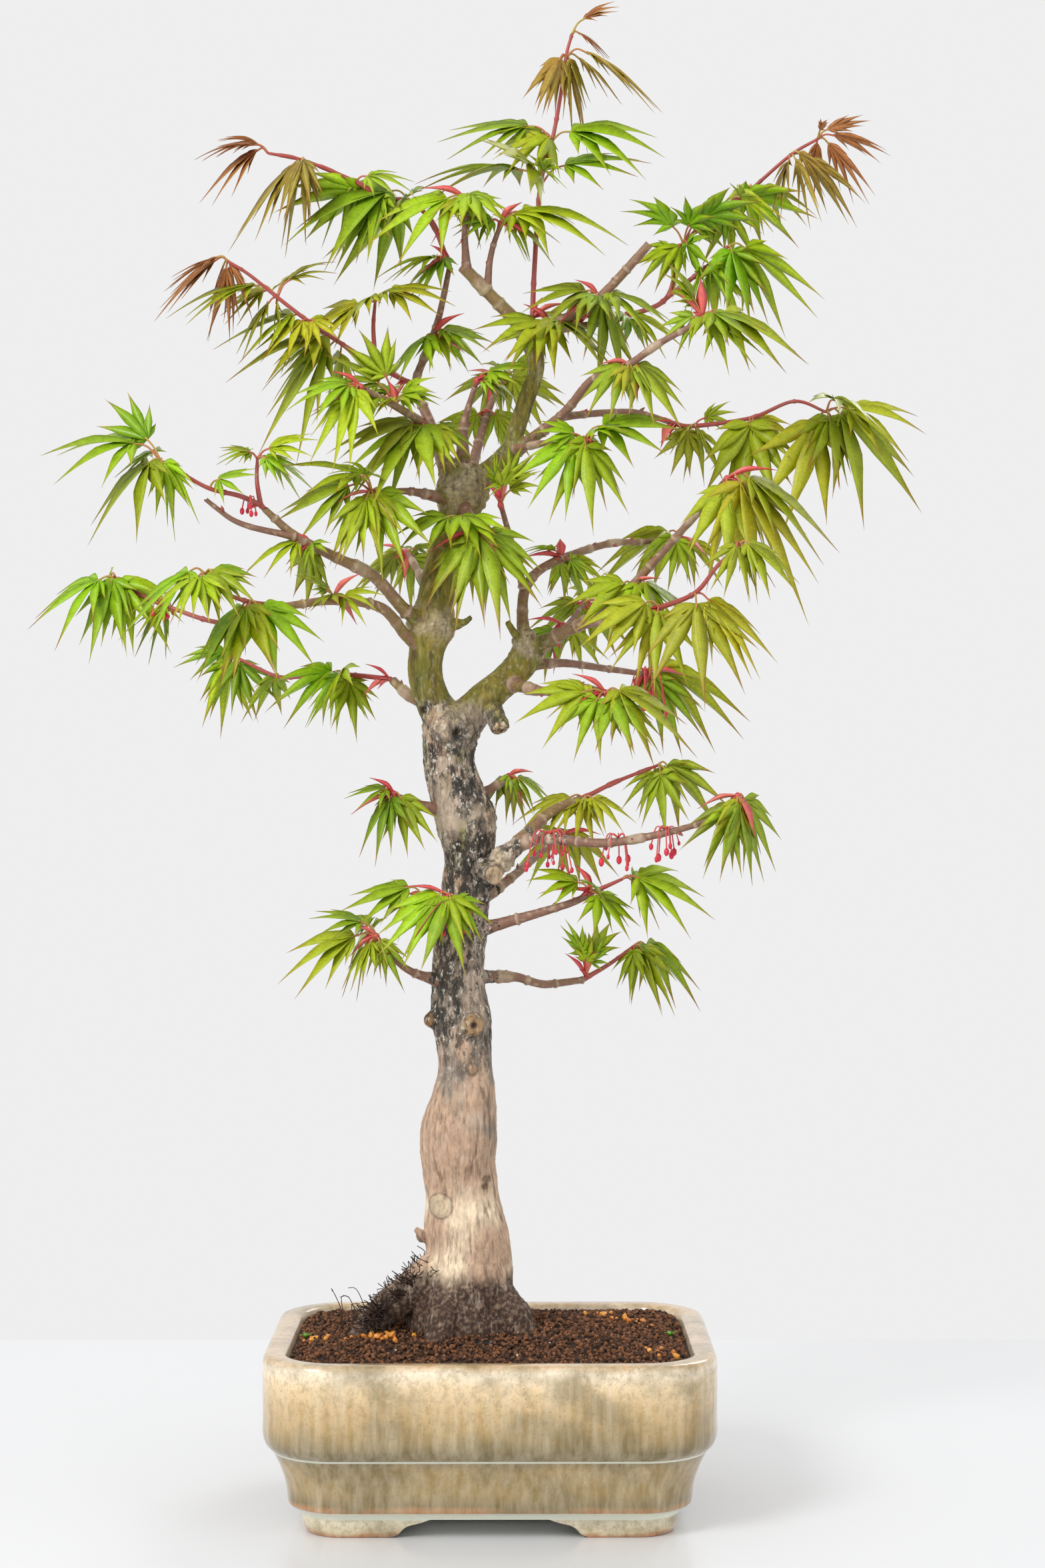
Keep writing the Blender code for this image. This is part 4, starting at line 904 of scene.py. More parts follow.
LEAF_DARK = tint("468010")
LEAF_GREEN = tint("70B408")
LEAF_BRIGHT = tint("A4E012")
LEAF_GOLD = tint("CFCB1C")
LEAF_BRONZE = tint("B46E46")
LEAF_TIP = tint("9A5024")
PETIOLE = tint("B8564A")
BRACT = tint("D83444")
BRACT_PALE = tint("F08A78")
FLOWER = tint("C01830")

VISIBLE_LOBES = ((-88, 0.36), (-58, 0.66), (-29, 0.90), (0, 1.0), (29, 0.90), (58, 0.66), (88, 0.36))
LOBE_STEPS = (0.0, 0.1, 0.2, 0.31, 0.42, 0.53, 0.64, 0.75, 0.86, 0.94, 1.0)
GOLDEN = ("far_right_middle_shoot", "second_left_shoot", "right_low_shoot", "spray_right_main_end")
FOOT_LEAST = 0.6  # a base this near a limb's middle line needs no foot
FOOT_SHAPE = ((0.0, 1.0), (0.5, 1.1), (0.8, 1.25), (1.0, 1.1))  # share of the way out, and width there
FOOT_WIDTH = 1.25
YOUNG = ("leader_shoot", "far_right_shoot", "upper_left_shoot", "second_left_shoot")


def lobe_width(t):
    """A lobe's half width as a share of its widest, narrow at its base and drawn out to a fine point."""
    if t < 0.46:
        return 0.26 + 0.74 * math.sin(math.pi / 2 * t / 0.46)
    return ((1.0 - t) / 0.54) ** 1.45


def strap(whole, base, heading, side, length, width, droop, tone_at, fold=0.4, bend=0.0, mark=0):
    """A narrow, folded, tapering blade, closed all round: a lobe of a leaf, or a bract."""
    normal = heading.cross(side).normalized()
    if normal.z < 0:
        normal = -normal
    points = []
    tones = []
    veins = []
    faces = []
    rows = len(LOBE_STEPS)
    for t in LOBE_STEPS[:-1]:
        middle = base + heading * length * t + side * bend * length * t * t
        middle = middle - UP * droop * length * (t * t - 0.35 * t)
        half = width * lobe_width(t)
        rise = normal * half * fold
        points += [middle - side * half + rise, middle, middle + side * half + rise, middle - normal * 0.22]
        tones += [tone_at(t, 1.0), tone_at(t, 0.0), tone_at(t, 1.0), tone_at(t, 0.6)]
        veins += [(across, t * length, 0.0) for across in (1.0, 0.0, 1.0, 0.6)]
    points.append(base + heading * length + side * bend * length - UP * droop * length * 0.65)
    tones.append(tone_at(1.0, 0.5))
    veins.append((0.5, length, 0.0))
    for i in range(rows - 2):
        a = 4 * i
        for k, after in ((0, 1), (1, 2), (2, 3), (3, 0)):
            faces.append((a + k, a + 4 + k, a + 4 + after, a + after))
    end = 4 * (rows - 2)
    tip = len(points) - 1
    faces += [(end + k, tip, end + after) for k, after in ((0, 1), (1, 2), (2, 3), (3, 0))]
    faces.append((0, 1, 2, 3))
    whole.add(points, faces, tones, mark, veins)


def leaf_facing(point, axis, chance):
    """The way that a leaf's upper side faces: up, outwards, and a little at random."""
    outward = Vector((point.x, point.y, 0.0)).normalized()
    front = Vector((0.0, -1.0 if point.y < 20 else 1.0, 0.0))
    facing = outward * 0.4 + front * 0.55 + UP * 0.7
    facing += Vector((chance.uniform(-0.3, 0.3), chance.uniform(-0.3, 0.3), chance.uniform(-0.2, 0.2)))
    return (facing - axis * facing.dot(axis)).normalized()


def leaf_tones(age, gold, chance):
    """A colour for each place on a leaf: t runs from base to tip, and edge from midrib to margin."""
    body = mix(LEAF_GREEN, LEAF_BRIGHT, chance.random())
    body = mix(body, LEAF_DARK, chance.random() ** 2 * 0.9)
    body = mix(body, LEAF_GOLD, min(gold + chance.random() ** 2 * 0.5, 1.0))
    body = mix(LEAF_BRONZE, body, age)
    browning = chance.uniform(0.35, 1.0)

    def tone(t, edge):
        shade = mix(body, LEAF_GOLD, edge * 0.4 * step(0.2, 0.9, t) * age)
        # Painted shade: darker towards the midrib of each folded lobe, in its crease
        shade = mix(shade, body * 0.62, (1.0 - edge) * 0.4)
        return mix(shade, LEAF_TIP, step(0.66 - 0.12 * edge, 0.98, t) * browning)

    return tone


def leaf(whole, start, reach, age, gold, chance):
    """A petiole and a blade of seven drooping lobes, from start to start + reach."""
    length = reach.length
    share = PETIOLE_SHARE + chance.uniform(-0.02, 0.06)
    lift = UP * length * chance.uniform(0.08, 0.16)
    blade = start + reach * share + lift
    axis = start + reach - blade
    size = axis.length * chance.uniform(1.05, 1.18)
    axis.normalize()
    normal = leaf_facing(blade, axis, chance)
    side = axis.cross(normal).normalized()
    bend = start + (blade - start) * 0.5 + lift * 0.35
    stalk = curve_through([(*start, 0.7), (*bend, 0.5), (*(blade + axis * 1.5), 0.55)], 1.5)
    points, faces = tube(stalk, 7)
    pink = mix(PETIOLE, tint("A9A23A"), chance.random() * 0.8)
    whole.add(points, faces, [pink] * len(points), 1)
    tone_at = leaf_tones(age, gold, chance)
    spread = (0.35 + 0.6 * age) * chance.uniform(0.72, 1.12)
    droop = chance.uniform(0.1, 0.34)
    plump = chance.uniform(0.074, 0.108)
    for angle, part in VISIBLE_LOBES:
        turn = math.radians(angle * spread + chance.uniform(-5, 5))
        heading = axis * math.cos(turn) + side * math.sin(turn)
        drop = normal * abs(math.sin(turn)) * chance.uniform(0.1, 0.4)
        heading = (heading - drop + UP * droop * 0.55).normalized()
        across = heading.cross(normal).normalized()
        reach_of = size * part * chance.uniform(0.93, 1.06)
        wide = size * plump * (0.45 + 0.55 * part) * (0.6 + 0.4 * age) * chance.uniform(0.9, 1.1)
        curl = chance.uniform(-0.09, 0.09)
        strap(whole, blade, heading, across, reach_of, wide, droop, tone_at, chance.uniform(0.25, 0.6), curl)


def bracts(whole, start, heading, chance):
    """A pair of red, strap-shaped bracts at the foot of a new spray."""
    side = heading.cross(Vector((0.3, 1.0, 0.2))).normalized()
    for sign in (-1, 1):
        out = (heading * 0.8 + side * sign * chance.uniform(0.3, 0.8) + UP * 0.45).normalized()
        across = out.cross(UP).normalized()
        shade = mix(BRACT, BRACT_PALE, chance.random() * 0.8)

        def tone(t, edge, shade=shade):
            return mix(mix(shade, BRACT_PALE, (1.0 - edge) * 0.5), BRACT * 0.6, step(0.7, 1.0, t))

        length = chance.uniform(13, 27)
        strap(whole, start, out, across, length, chance.uniform(2.2, 3.4), 0.3, tone, 0.7, mark=1)


def scales(whole, start, heading, chance):
    """The short, pointed, crimson bud scales that a spray came out of."""
    for i in range(4):
        turn = math.pi * i / 2 + chance.uniform(-0.3, 0.3)
        side = heading.orthogonal().normalized()
        out = (heading + (Matrix.Rotation(turn, 3, heading) @ side) * 0.45).normalized()
        across = out.cross(heading).normalized()
        shade = mix(BRACT * 0.75, BRACT_PALE, chance.random() * 0.5)
        length = chance.uniform(5, 9)
        width = chance.uniform(1.1, 1.7)
        strap(whole, start, out, across, length, width, 0.1, lambda t, edge: shade, 0.8, mark=1)


def nearest_wood(point):
    """The place on a limb's or the trunk's middle line that is nearest to a point, measured from its bark."""
    lines = (TRUNK, *LIMBS.values())
    places = (place for line in lines for place in curve_through(line, 1.0))
    return min(places, key=lambda place: (place.to_3d() - point).length - place[3])


def foot(whole, base, width):
    """The short, woody foot that joins a shoot or a spray to its limb."""
    wood = nearest_wood(base)
    bark = wood.to_3d()
    away = base - bark
    if away.length < FOOT_LEAST:
        return
    line = [(*(bark + away * t), width * wide) for t, wide in FOOT_SHAPE]
    points, faces = tube(line, TWIG_SIDES)
    shares = [min((Vector(p) - bark).length / away.length, 1.0) for p in points]
    whole.add(points, faces, [mix(TWIG, YOUNG_STEM, share) for share in shares], 1)


def stem_tones(points, age):
    """A young stem's colours, browner with age."""
    return [mix(YOUNG_STEM, TWIG, age * 0.5 + 0.3 * grain(p, 5.0)) for p in points]


def make_growth(finishes):
    """A piece for each shoot and spray, with more leaves than its CAD node has."""
    chance = random.Random(5)
    pieces = {name: (stems, leaves) for name, (stems, leaves) in GROWTH.items()}
    for name, (point, reaches) in SPRAYS.items():
        pieces[name] = (((point,),), [(0, 0, reach) for reach in reaches])
    for name, (stems, leaves) in pieces.items():
        whole = Build()
        for stem in stems:
            if len(stem) > 1:
                last = len(stem) - 1
                line = [(*p, STEM_RADIUS * (1.25 - 0.55 * i / last)) for i, p in enumerate(stem)]
                points, faces = tube(noded(line, 21.0, 0.35)[0], 9)
                whole.add(points, faces, stem_tones(points, 0.4), 1)
            else:
                points, faces = ball(stem[0], (1.7, 1.7, 2.0))
                whole.add(points, faces, [mix(BRACT, TWIG, 0.4)] * len(points), 1)
        first_age = chance.uniform(0.75, 1.0)
        gold = 0.4 if name in GOLDEN else chance.uniform(0.0, 0.22)
        for stem, index, reach in leaves:
            start = Vector(stems[stem][index])
            age = first_age
            if name in YOUNG and stem == 0:
                from_tip = len(stems[0]) - 1 - index
                age = (0.05, 0.35, 0.7)[min(from_tip, 2)] if from_tip < 3 else first_age
            leaf(whole, start, Vector(reach), age, gold, chance)
            if chance.random() < 0.75:
                spin = Matrix.Rotation(chance.choice((-1, 1)) * chance.uniform(0.6, 1.4), 3, "Z")
                leaf(whole, start, spin @ Vector(reach) * chance.uniform(0.6, 0.95), age, gold, chance)
        foot(whole, Vector(stems[0][0]), FOOT_WIDTH)
        scales(whole, Vector(stems[0][0]), Vector(leaves[0][2]).normalized(), chance)
        if chance.random() < 0.8:
            bracts(whole, Vector(stems[0][0]), Vector(leaves[0][2]).normalized(), chance)
        settle(whole.make(name + "_leaves", finishes), "leaf", name)


FLOWER_CLUSTERS = (
    ((29, -20, 336), 8, 17), ((62.5, -37.6, 334.8), 4, 12), ((84.8, -47.8, 338.6), 5, 12),
    ((81, 51.3, 420), 8, 20), ((-19, -38, 304), 7, 13), ((-161.2, -48.6, 449.6), 4, 10),
    ((46, -26.5, 530), 4, 9), ((-117, -42.5, 499.6), 3, 8),
)


def make_flowers(finish):
    """Crimson flower buds on thin hanging stalks."""
    chance = random.Random(23)
    whole = Build()
    for centre, count, drop in FLOWER_CLUSTERS:
        for i in range(round(count * 1.7)):
            out = Vector((chance.uniform(-1, 1), chance.uniform(-1, 1), 0.0)) * drop * 0.7
            end = Vector(centre) + out + Vector((0, 0, -drop * chance.uniform(0.3, 1.2)))
            bend = Vector(centre) + out * 0.6 + Vector((0, 0, 1.5))
            points, faces = tube(curve_through([(*centre, 0.4), (*bend, 0.33), (*end, 0.35)], 1.5), 6)
            whole.add(points, faces, [mix(FLOWER, BRACT_PALE, 0.3)] * len(points))
            size = chance.uniform(0.9, 1.8)
            points, faces = ball(end + Vector((0, 0, -size * 0.7)), (size * 0.8, size * 0.8, size * 1.25))
            whole.add(points, faces, [mix(FLOWER, tint("E0304A"), 0.5 + 0.5 * grain(p, 1.5)) for p in points])
    settle(whole.make("flower_buds", [finish]), "leaf")


# ---------------------------------------------------------------------------------------------
# Pot

POT_PROFILE = (
    (13.0, 79.0), (12.0, 82.0), (11.7, 84.2), (10.6, 85.5), (8.6, 86.0), (3.4, 86.0), (1.5, 85.5),
    (0.4, 84.2), (0.0, 82.0), (0.1, 70.0), (0.2, 58.0), (0.0, 49.0), (0.4, 46.0), (1.6, 43.0),
    (3.4, 40.9), (4.4, 40.3), (4.9, 39.4), (5.6, 38.0), (8.0, 33.0), (10.2, 27.0), (11.6, 21.5),
    (12.0, 16.5), (12.3, 14.2), (13.6, 12.9), (15.6, 12.0), (17.6, 11.2), (18.2, 10.2), (18.2, 8.6),
    (18.9, 5.0), (20.2, 1.4), (21.0, 0.0),
)


def smooth_ring(inset, height, steps=16):
    """A rounded rectangle of points, this far in from the pot's widest outline."""
    radius = max(CORNER_RADIUS - CORNER_TIGHTENING * inset, LEAST_CORNER_RADIUS)
    across = POT_LENGTH / 2 - inset - radius
    along = POT_DEPTH / 2 - inset - radius
    ring = []
    for quarter, (side_x, side_y) in enumerate(((1, 1), (-1, 1), (-1, -1), (1, -1))):
        for i in range(steps + 1):
            angle = math.radians(90 * quarter + 90 * i / steps)
            x = side_x * across + radius * math.cos(angle)
            ring.append((x, side_y * along + radius * math.sin(angle), height))
    return ring


def lofted(rings):
    """Rings of points joined by faces and closed at both ends."""
    count = len(rings[0])
    points = [p for ring in rings for p in ring]
    faces = []
    for i in range(len(rings) - 1):
        for k in range(count):
            after = (k + 1) % count
            faces.append((i * count + k, i * count + after, (i + 1) * count + after, (i + 1) * count + k))
    faces.append(tuple(reversed(range(count))))
    faces.append(tuple(range((len(rings) - 1) * count, len(rings) * count)))
    return points, faces


def gap_cutter(half_outline, across_pot):
    """A bar of the outline between two feet, mirrored about its middle."""
    fine = [Vector((x, z, 0.0, 0.0)) for x, z in half_outline]
    outline = [(p[0], p[1]) for p in curve_through(fine, 1.5)] + [(half_outline[-1][0] + 1.5, -3.0)]
    outline = outline + [(-x, z) for x, z in reversed(outline)]
    reach = POT_LENGTH
    if across_pot:
        return lofted([[(-reach, x, z) for x, z in outline], [(reach, x, z) for x, z in outline]])
    return lofted([[(x, -reach, z) for x, z in outline], [(x, reach, z) for x, z in outline]])


def outward(mesh):
    """Turns a closed mesh's faces outwards."""
    shape = bmesh.new()
    shape.from_mesh(mesh)
    bmesh.ops.recalc_face_normals(shape, faces=shape.faces)
    shape.to_mesh(mesh)
    shape.free()


def make_pot(finish):
    """The pot in one wall, cut out between its feet and at its drain holes, with softened edges."""
    foot_inner = OUTER_WALL[-1][0] + FOOT_WIDTH
    inside = [smooth_ring(inset, height) for inset, height in INNER_WALL[:4]]
    outside = [smooth_ring(inset, height) for inset, height in POT_PROFILE]
    under = [smooth_ring(foot_inner, 0.0), smooth_ring(foot_inner, FOOT_HEIGHT)]
    whole = Build()
    points, faces = lofted(inside + outside + under)
    whole.add(points, faces, [(1, 1, 1)] * len(points))
    obj = whole.make("glazed_pot", [finish])
    outward(obj.data)
    cutter = Build()
    shapes = [gap_cutter(FRONT_FOOT_GAP, False), gap_cutter(SIDE_FOOT_GAP, True)]
    for x in (-DRAIN_SPACING / 2, DRAIN_SPACING / 2):
        shapes.append(tube(((x, 0, -5, DRAIN_RADIUS), (x, 0, FLOOR_TOP + 5, DRAIN_RADIUS)), 40))
    for points, faces in shapes:
        cutter.add(points, faces, [(1, 1, 1)] * len(points))
    tool = cutter.make("gap_cutter", [])
    outward(tool.data)
    cut = obj.modifiers.new("Cut", "BOOLEAN")
    cut.operation = "DIFFERENCE"
    cut.solver = "EXACT"
    cut.use_self = True
    cut.object = tool
    soften = obj.modifiers.new("Soften", "BEVEL")
    soften.width = 0.7 * MM
    soften.segments = 3
    soften.limit_method = "ANGLE"
    soften.angle_limit = math.radians(50)
    mesh = bpy.data.meshes.new_from_object(obj.evaluated_get(bpy.context.evaluated_depsgraph_get()))
    obj.modifiers.clear()
    obj.data = mesh
    bpy.data.objects.remove(tool)
    mesh.shade_smooth()
    mesh.set_sharp_from_angle(angle=math.radians(38))
    settle(obj, "glaze", "pot")


def glaze_material():
    """Glaze that runs from dark olive to cream up each wall, with streaks and speckles, a painted highlight
    in the cream near the top, and painted highlights as pale lines along the ledge and the crease.
    """
    made, nodes, links, shader = new_material("glaze", 0.2, Coat_Weight=0.6, Coat_Roughness=0.08)
    place = nodes.new("ShaderNodeTexCoord")
    split = nodes.new("ShaderNodeSeparateXYZ")
    links.new(place.outputs["Object"], split.inputs["Vector"])
    wobble = noise_node(nodes, links, 38.0, 4.0, (1.0, 1.0, 0.7))
    shift = nodes.new("ShaderNodeMath")
    shift.operation = "MULTIPLY_ADD"
    links.new(wobble.outputs["Fac"], shift.inputs[0])
    shift.inputs[1].default_value = 0.006
    links.new(split.outputs["Z"], shift.inputs[2])
    height = nodes.new("ShaderNodeMapRange")
    height.inputs["From Min"].default_value = 0.003
    height.inputs["From Max"].default_value = 0.089
    links.new(shift.outputs["Value"], height.inputs["Value"])
    body = ramp_node(
        nodes,
        links,
        height.outputs["Result"],
        (
            (0.0, tint("B4683A")),
            (0.02, tint("C98A58")),
            (0.035, tint("D9C8A4")),
            (0.1, tint("E6DEC4")),
            (0.15, tint("C07F48")),
            (0.175, tint("B07A48")),
            (0.20, tint("75623A")),
            (0.27, tint("9E8450")),
            (0.40, tint("A88C56")),
            (0.45, tint("8A7448")),
            (0.52, tint("6E6038")),
            (0.62, tint("A88A52")),
            # The cream towards the top is partly the glaze's colour and partly a painted highlight
            (0.76, tint("C9A874")),
            (0.88, tint("E9CDA0")),
            (0.96, tint("F8E8CE")),
            (1.0, tint("CDA87C")),
        ),
    )
    cloud = noise_node(nodes, links, 26.0, 6.0, (1.0, 1.0, 1.4), 0.62)
    patch = ramp_node(nodes, links, cloud.outputs["Fac"], ((0.45, 0.0), (0.60, 1.0)))
    dark = over(nodes, links, body, patch, 0.66, tint("6A5C32"))
    mottle = noise_node(nodes, links, 330.0, 5.0, (1.0, 1.0, 0.7), 0.7)
    grainy = ramp_node(nodes, links, mottle.outputs["Fac"], ((0.46, 0.0), (0.62, 1.0)))
    dark = over(nodes, links, dark, grainy, 0.45, tint("8A7444"))
    streak = noise_node(nodes, links, 230.0, 3.0, (1.0, 1.0, 0.14), 0.6)
    streaks = ramp_node(nodes, links, streak.outputs["Fac"], ((0.35, 0.0), (0.75, 1.0)))
    light = over(nodes, links, dark, streaks, 0.34, tint("F0E2C4"))
    speckle = noise_node(nodes, links, 900.0, 2.0)
    spots = ramp_node(nodes, links, speckle.outputs["Fac"], ((0.6, 0.0), (0.72, 1.0)))
    spotted = over(nodes, links, light, spots, 0.35, tint("6E6038"))
    # Painted highlights: pale lines along the foot ledge and along the crease under the shoulder
    lines = ramp_node(
        nodes,
        links,
        line_height(nodes, links, split),
        (
            (0.0, 0.0),
            (0.100, 0.0),
            (0.110, 1.0),
            (0.150, 1.0),
            (0.160, 0.0),
            (0.4555, 0.0),
            (0.461, 1.0),
            (0.4665, 0.9),
            (0.473, 0.0),
        ),
    )
    final = over(nodes, links, spotted, lines, 0.9, tint("E9EDDC"))
    links.new(final, shader.inputs["Base Color"])
    gloss = nodes.new("ShaderNodeMapRange")
    gloss.inputs["To Min"].default_value = 0.1
    gloss.inputs["To Max"].default_value = 0.34
    links.new(cloud.outputs["Fac"], gloss.inputs["Value"])
    links.new(gloss.outputs["Result"], shader.inputs["Roughness"])
    relief = nodes.new("ShaderNodeBump")
    relief.inputs["Strength"].default_value = 0.35
    relief.inputs["Distance"].default_value = 0.0005
    links.new(cloud.outputs["Fac"], relief.inputs["Height"])
    links.new(relief.outputs["Normal"], shader.inputs["Normal"])
    return made


def line_height(nodes, links, split):
    """The height on the pot as a share of 86 mm."""
    scale = nodes.new("ShaderNodeMath")
    scale.operation = "MULTIPLY"
    scale.inputs[1].default_value = 1.0 / (POT_HEIGHT * MM)
    links.new(split.outputs["Z"], scale.inputs[0])
    return scale.outputs["Value"]


# ---------------------------------------------------------------------------------------------
# Soil

SOIL_DARK = tint("2A180E")
SOIL_RED = tint("4E2E1C")
SOIL_LIGHT = tint("8A5A38")
AMBER = tint("E09A3A")
WHITE_GRIT = tint("D9D2C0")
BED_WAVE = 0.9  # how far the bed rises and falls
BED_WAVE_LENGTH = 6.0
TRUNK_FOOT = 20.0  # no loose grains lie this near to the trunk's middle
TRUNK_FOOT_X = -14.0


def soil_height(x, y):
    """How high the mound of soil is at a place."""
    inset = min(POT_LENGTH / 2 - abs(x), POT_DEPTH / 2 - abs(y))
    heights = ((12.0, 82.0), (20.0, 83.6), (34.0, 85.6), (50.0, 88.0), (64.0, 89.6), (90.0, 90.5))
    for (near, low), (far, high) in zip(heights, heights[1:]):
        if inset <= far:
            return low + (high - low) * max(inset - near, 0.0) / (far - near)
    return heights[-1][1]


def in_soil(x, y, margin=12.6):
    """Whether a place is inside the pot's wall."""
    radius = CORNER_RADIUS - CORNER_TIGHTENING * margin
    out_x = max(abs(x) - (POT_LENGTH / 2 - margin - radius), 0.0)
    out_y = max(abs(y) - (POT_DEPTH / 2 - margin - radius), 0.0)
    return math.hypot(out_x, out_y) < radius


def make_soil_bed(finish):
    """The body of the soil, under the loose grains."""
    rings = [smooth_ring(inset, height, 12) for inset, height in SOIL_SIDE[:-1]]
    insets = [12.5, 14] + list(range(17, 78, 3))
    for inset in insets:
        ring = []
        for x, y, _ in smooth_ring(inset, 0.0, 12):
            ring.append((x, y, soil_height(x, y) + BED_WAVE * grain((x, y, 0), BED_WAVE_LENGTH) - 0.6))
        rings.append(ring)
    whole = Build()
    points, faces = lofted(rings)
    whole.add(points, faces, [mix(SOIL_DARK, SOIL_RED, 0.5 + grain(p, 5.0)) for p in points])
    obj = whole.make("soil_bed", [finish])
    outward(obj.data)
    settle(obj, "soil", "soil")


def scatter(name, finish, slot, count, sizes, shades, place, seed):
    """Many small broken grains, each a dented icosahedron with its own turn, size and colour."""
    chance = np.random.default_rng(seed)
    seed_points, seed_faces = ball((0, 0, 0), (1, 1, 1), level=1)
    seed_points = np.array([tuple(p) for p in seed_points])
    seed_faces = np.array(seed_faces)
    spots = place(chance, count)
    count = len(spots)
    radius = chance.uniform(sizes[0], sizes[1], count)
    dents = chance.uniform(0.68, 1.12, (count, len(seed_points), 1))
    stretch = chance.uniform(0.65, 1.15, (count, 1, 3))
    angles = chance.uniform(0, 2 * math.pi, (count, 3))
    cos, sin = np.cos(angles), np.sin(angles)
    turn = np.zeros((count, 3, 3))
    turn[:, 0, 0] = cos[:, 0] * cos[:, 1]
    turn[:, 0, 1] = cos[:, 0] * sin[:, 1] * sin[:, 2] - sin[:, 0] * cos[:, 2]
    turn[:, 0, 2] = cos[:, 0] * sin[:, 1] * cos[:, 2] + sin[:, 0] * sin[:, 2]
    turn[:, 1, 0] = sin[:, 0] * cos[:, 1]
    turn[:, 1, 1] = sin[:, 0] * sin[:, 1] * sin[:, 2] + cos[:, 0] * cos[:, 2]
    turn[:, 1, 2] = sin[:, 0] * sin[:, 1] * cos[:, 2] - cos[:, 0] * sin[:, 2]
    turn[:, 2, 0] = -sin[:, 1]
    turn[:, 2, 1] = cos[:, 1] * sin[:, 2]
    turn[:, 2, 2] = cos[:, 1] * cos[:, 2]
    shaped = seed_points[None] * dents * stretch * radius[:, None, None]
    shaped = np.einsum("nij,nkj->nki", turn, shaped) + spots[:, None, :]
    points = shaped.reshape(-1, 3)
    faces = (seed_faces[None] + np.arange(count)[:, None, None] * len(seed_points)).reshape(-1, 3)
    share = chance.random((count, 1)) ** 1.3
    tones = np.array([tuple(shades[0])]) * (1 - share) + np.array([tuple(shades[1])]) * share
    whole = Build()
    whole.add(points.tolist(), faces.tolist(), np.repeat(tones, len(seed_points), axis=0).tolist())
    settle(whole.make(name, [finish], smooth=False), slot)


def over_bed(chance, count):
    """Places all over the bed, clear of the trunk."""
    spots = []
    while len(spots) < count:
        x = chance.uniform(-98, 98)
        y = chance.uniform(-72, 72)
        if in_soil(x, y, 13.6) and math.hypot(x - TRUNK_FOOT_X, y) > TRUNK_FOOT:
            bed = soil_height(x, y) + BED_WAVE * grain((x, y, 0), BED_WAVE_LENGTH)
            spots.append((x, y, bed + chance.uniform(-0.5, 0.9)))
    return np.array(spots)


def in_clusters(centres, spread):
    """A function that gives places gathered round these centres."""
    def place(chance, count):
        spots = []
        while len(spots) < count:
            cx, cy = centres[chance.integers(len(centres))]
            x = cx + chance.normal(0, spread)
            y = cy + chance.normal(0, spread * 0.8)
            if in_soil(x, y, 14.5):
                spots.append((x, y, soil_height(x, y) + chance.uniform(0.6, 1.6)))
        return np.array(spots)

    return place


AMBER_CLUSTERS = (
    (-56, -26), (-50, -30), (-60, -22), (-86, -14), (84, -44), (88, -52), (74, 20), (54, 26),
)
ROOT_HAIRS = 420


def make_roots_and_sprouts(dark, green):
    """Hair-like dead roots on the left flare, wiry stems that stand over it, and two seedlings."""
    chance = random.Random(31)
    whole = Build()
    for _ in range(ROOT_HAIRS):
        t = chance.random()
        y = -4 - 14 * t + chance.uniform(-9, 9)
        base = Vector((-30 - 32 * t, y, 119 - 27 * t + chance.uniform(-2, 4)))
        line = [(*base, 0.4)]
        point = base.copy()
        heading = Vector((chance.uniform(-1, 0.4), chance.uniform(-1, 0.6), chance.uniform(-0.6, 1.0)))
        heading.normalize()
        for _ in range(3):
            heading = (heading + Vector([chance.uniform(-0.45, 0.45) for _ in range(3)])).normalized()
            point = point + heading * chance.uniform(2, 4.5)
            line.append((*point, 0.22))
        points, faces = tube(curve_through(line, 1.6), 5)
        whole.add(points, faces, [mix(tint("1A120E"), tint("4A2E20"), chance.random() * 0.6)] * len(points))
    for i in range(7):
        base = Vector((-58 - 3.2 * i + chance.uniform(-2, 2), -6 + chance.uniform(-8, 8), 87))
        top = base + Vector((chance.uniform(-6, 5), chance.uniform(-4, 4), chance.uniform(9, 21)))
        curl = top + Vector((chance.uniform(-5, 5), 0, chance.uniform(-3, 2)))
        middle = base * 0.5 + top * 0.5 + Vector((2, 0, 0))
        line = [(*base, 0.3), (*middle, 0.25), (*top, 0.2), (*curl, 0.18)]
        points, faces = tube(curve_through(line, 1.5), 5)
        whole.add(points, faces, [tint("3A2A22")] * len(points))
    settle(whole.make("root_hairs", [dark]), "bark")
    whole = Build()
    for x, y in ((-92, -8), (90, -6)):
        for i in range(4):
            turn = math.pi * i / 2 + 0.4
            heading = Vector((math.cos(turn), math.sin(turn), 0.9)).normalized()
            across = heading.cross(UP).normalized()
            base = Vector((x, y, soil_height(x, y) + 1.2))
            strap(whole, base, heading, across, 5.5, 1.1, 0.4, lambda t, edge: tint("5E9A22"))
    settle(whole.make("seedlings", [green]), "leaf")


# ---------------------------------------------------------------------------------------------
# Stage: the table in millimetres, the lamps and the camera in metres

CAMERA_PLACE = (0.0103, -1.350, 0.3541)  # metres
CAMERA_PITCH = -0.298  # degrees that the camera looks down
CAMERA_YAW = 0.239  # degrees that it looks to the right
LENS = 61.64
WORLD_STRENGTH = 0.86
KEY_POWER = 36.0
FILL_POWER = 4.0
RIM_POWER = 10.0
TABLE_HALF_WIDTH = 3000
TABLE_FRONT = -2500
TABLE_BACK = 406


def make_stage():
    """The pale table top."""
    floor = Build()
    left, right = -TABLE_HALF_WIDTH, TABLE_HALF_WIDTH
    corners = [(left, TABLE_FRONT, 0), (right, TABLE_FRONT, 0), (right, TABLE_BACK, 0), (left, TABLE_BACK, 0)]
    floor.add(corners, [(0, 1, 2, 3)], [(1, 1, 1)] * 4)
    made, _, _, shader = new_material("table", 0.2)
    shader.inputs["Base Color"].default_value = (0.72, 0.725, 0.74, 1.0)
    floor.make("table_top", [made], smooth=False)


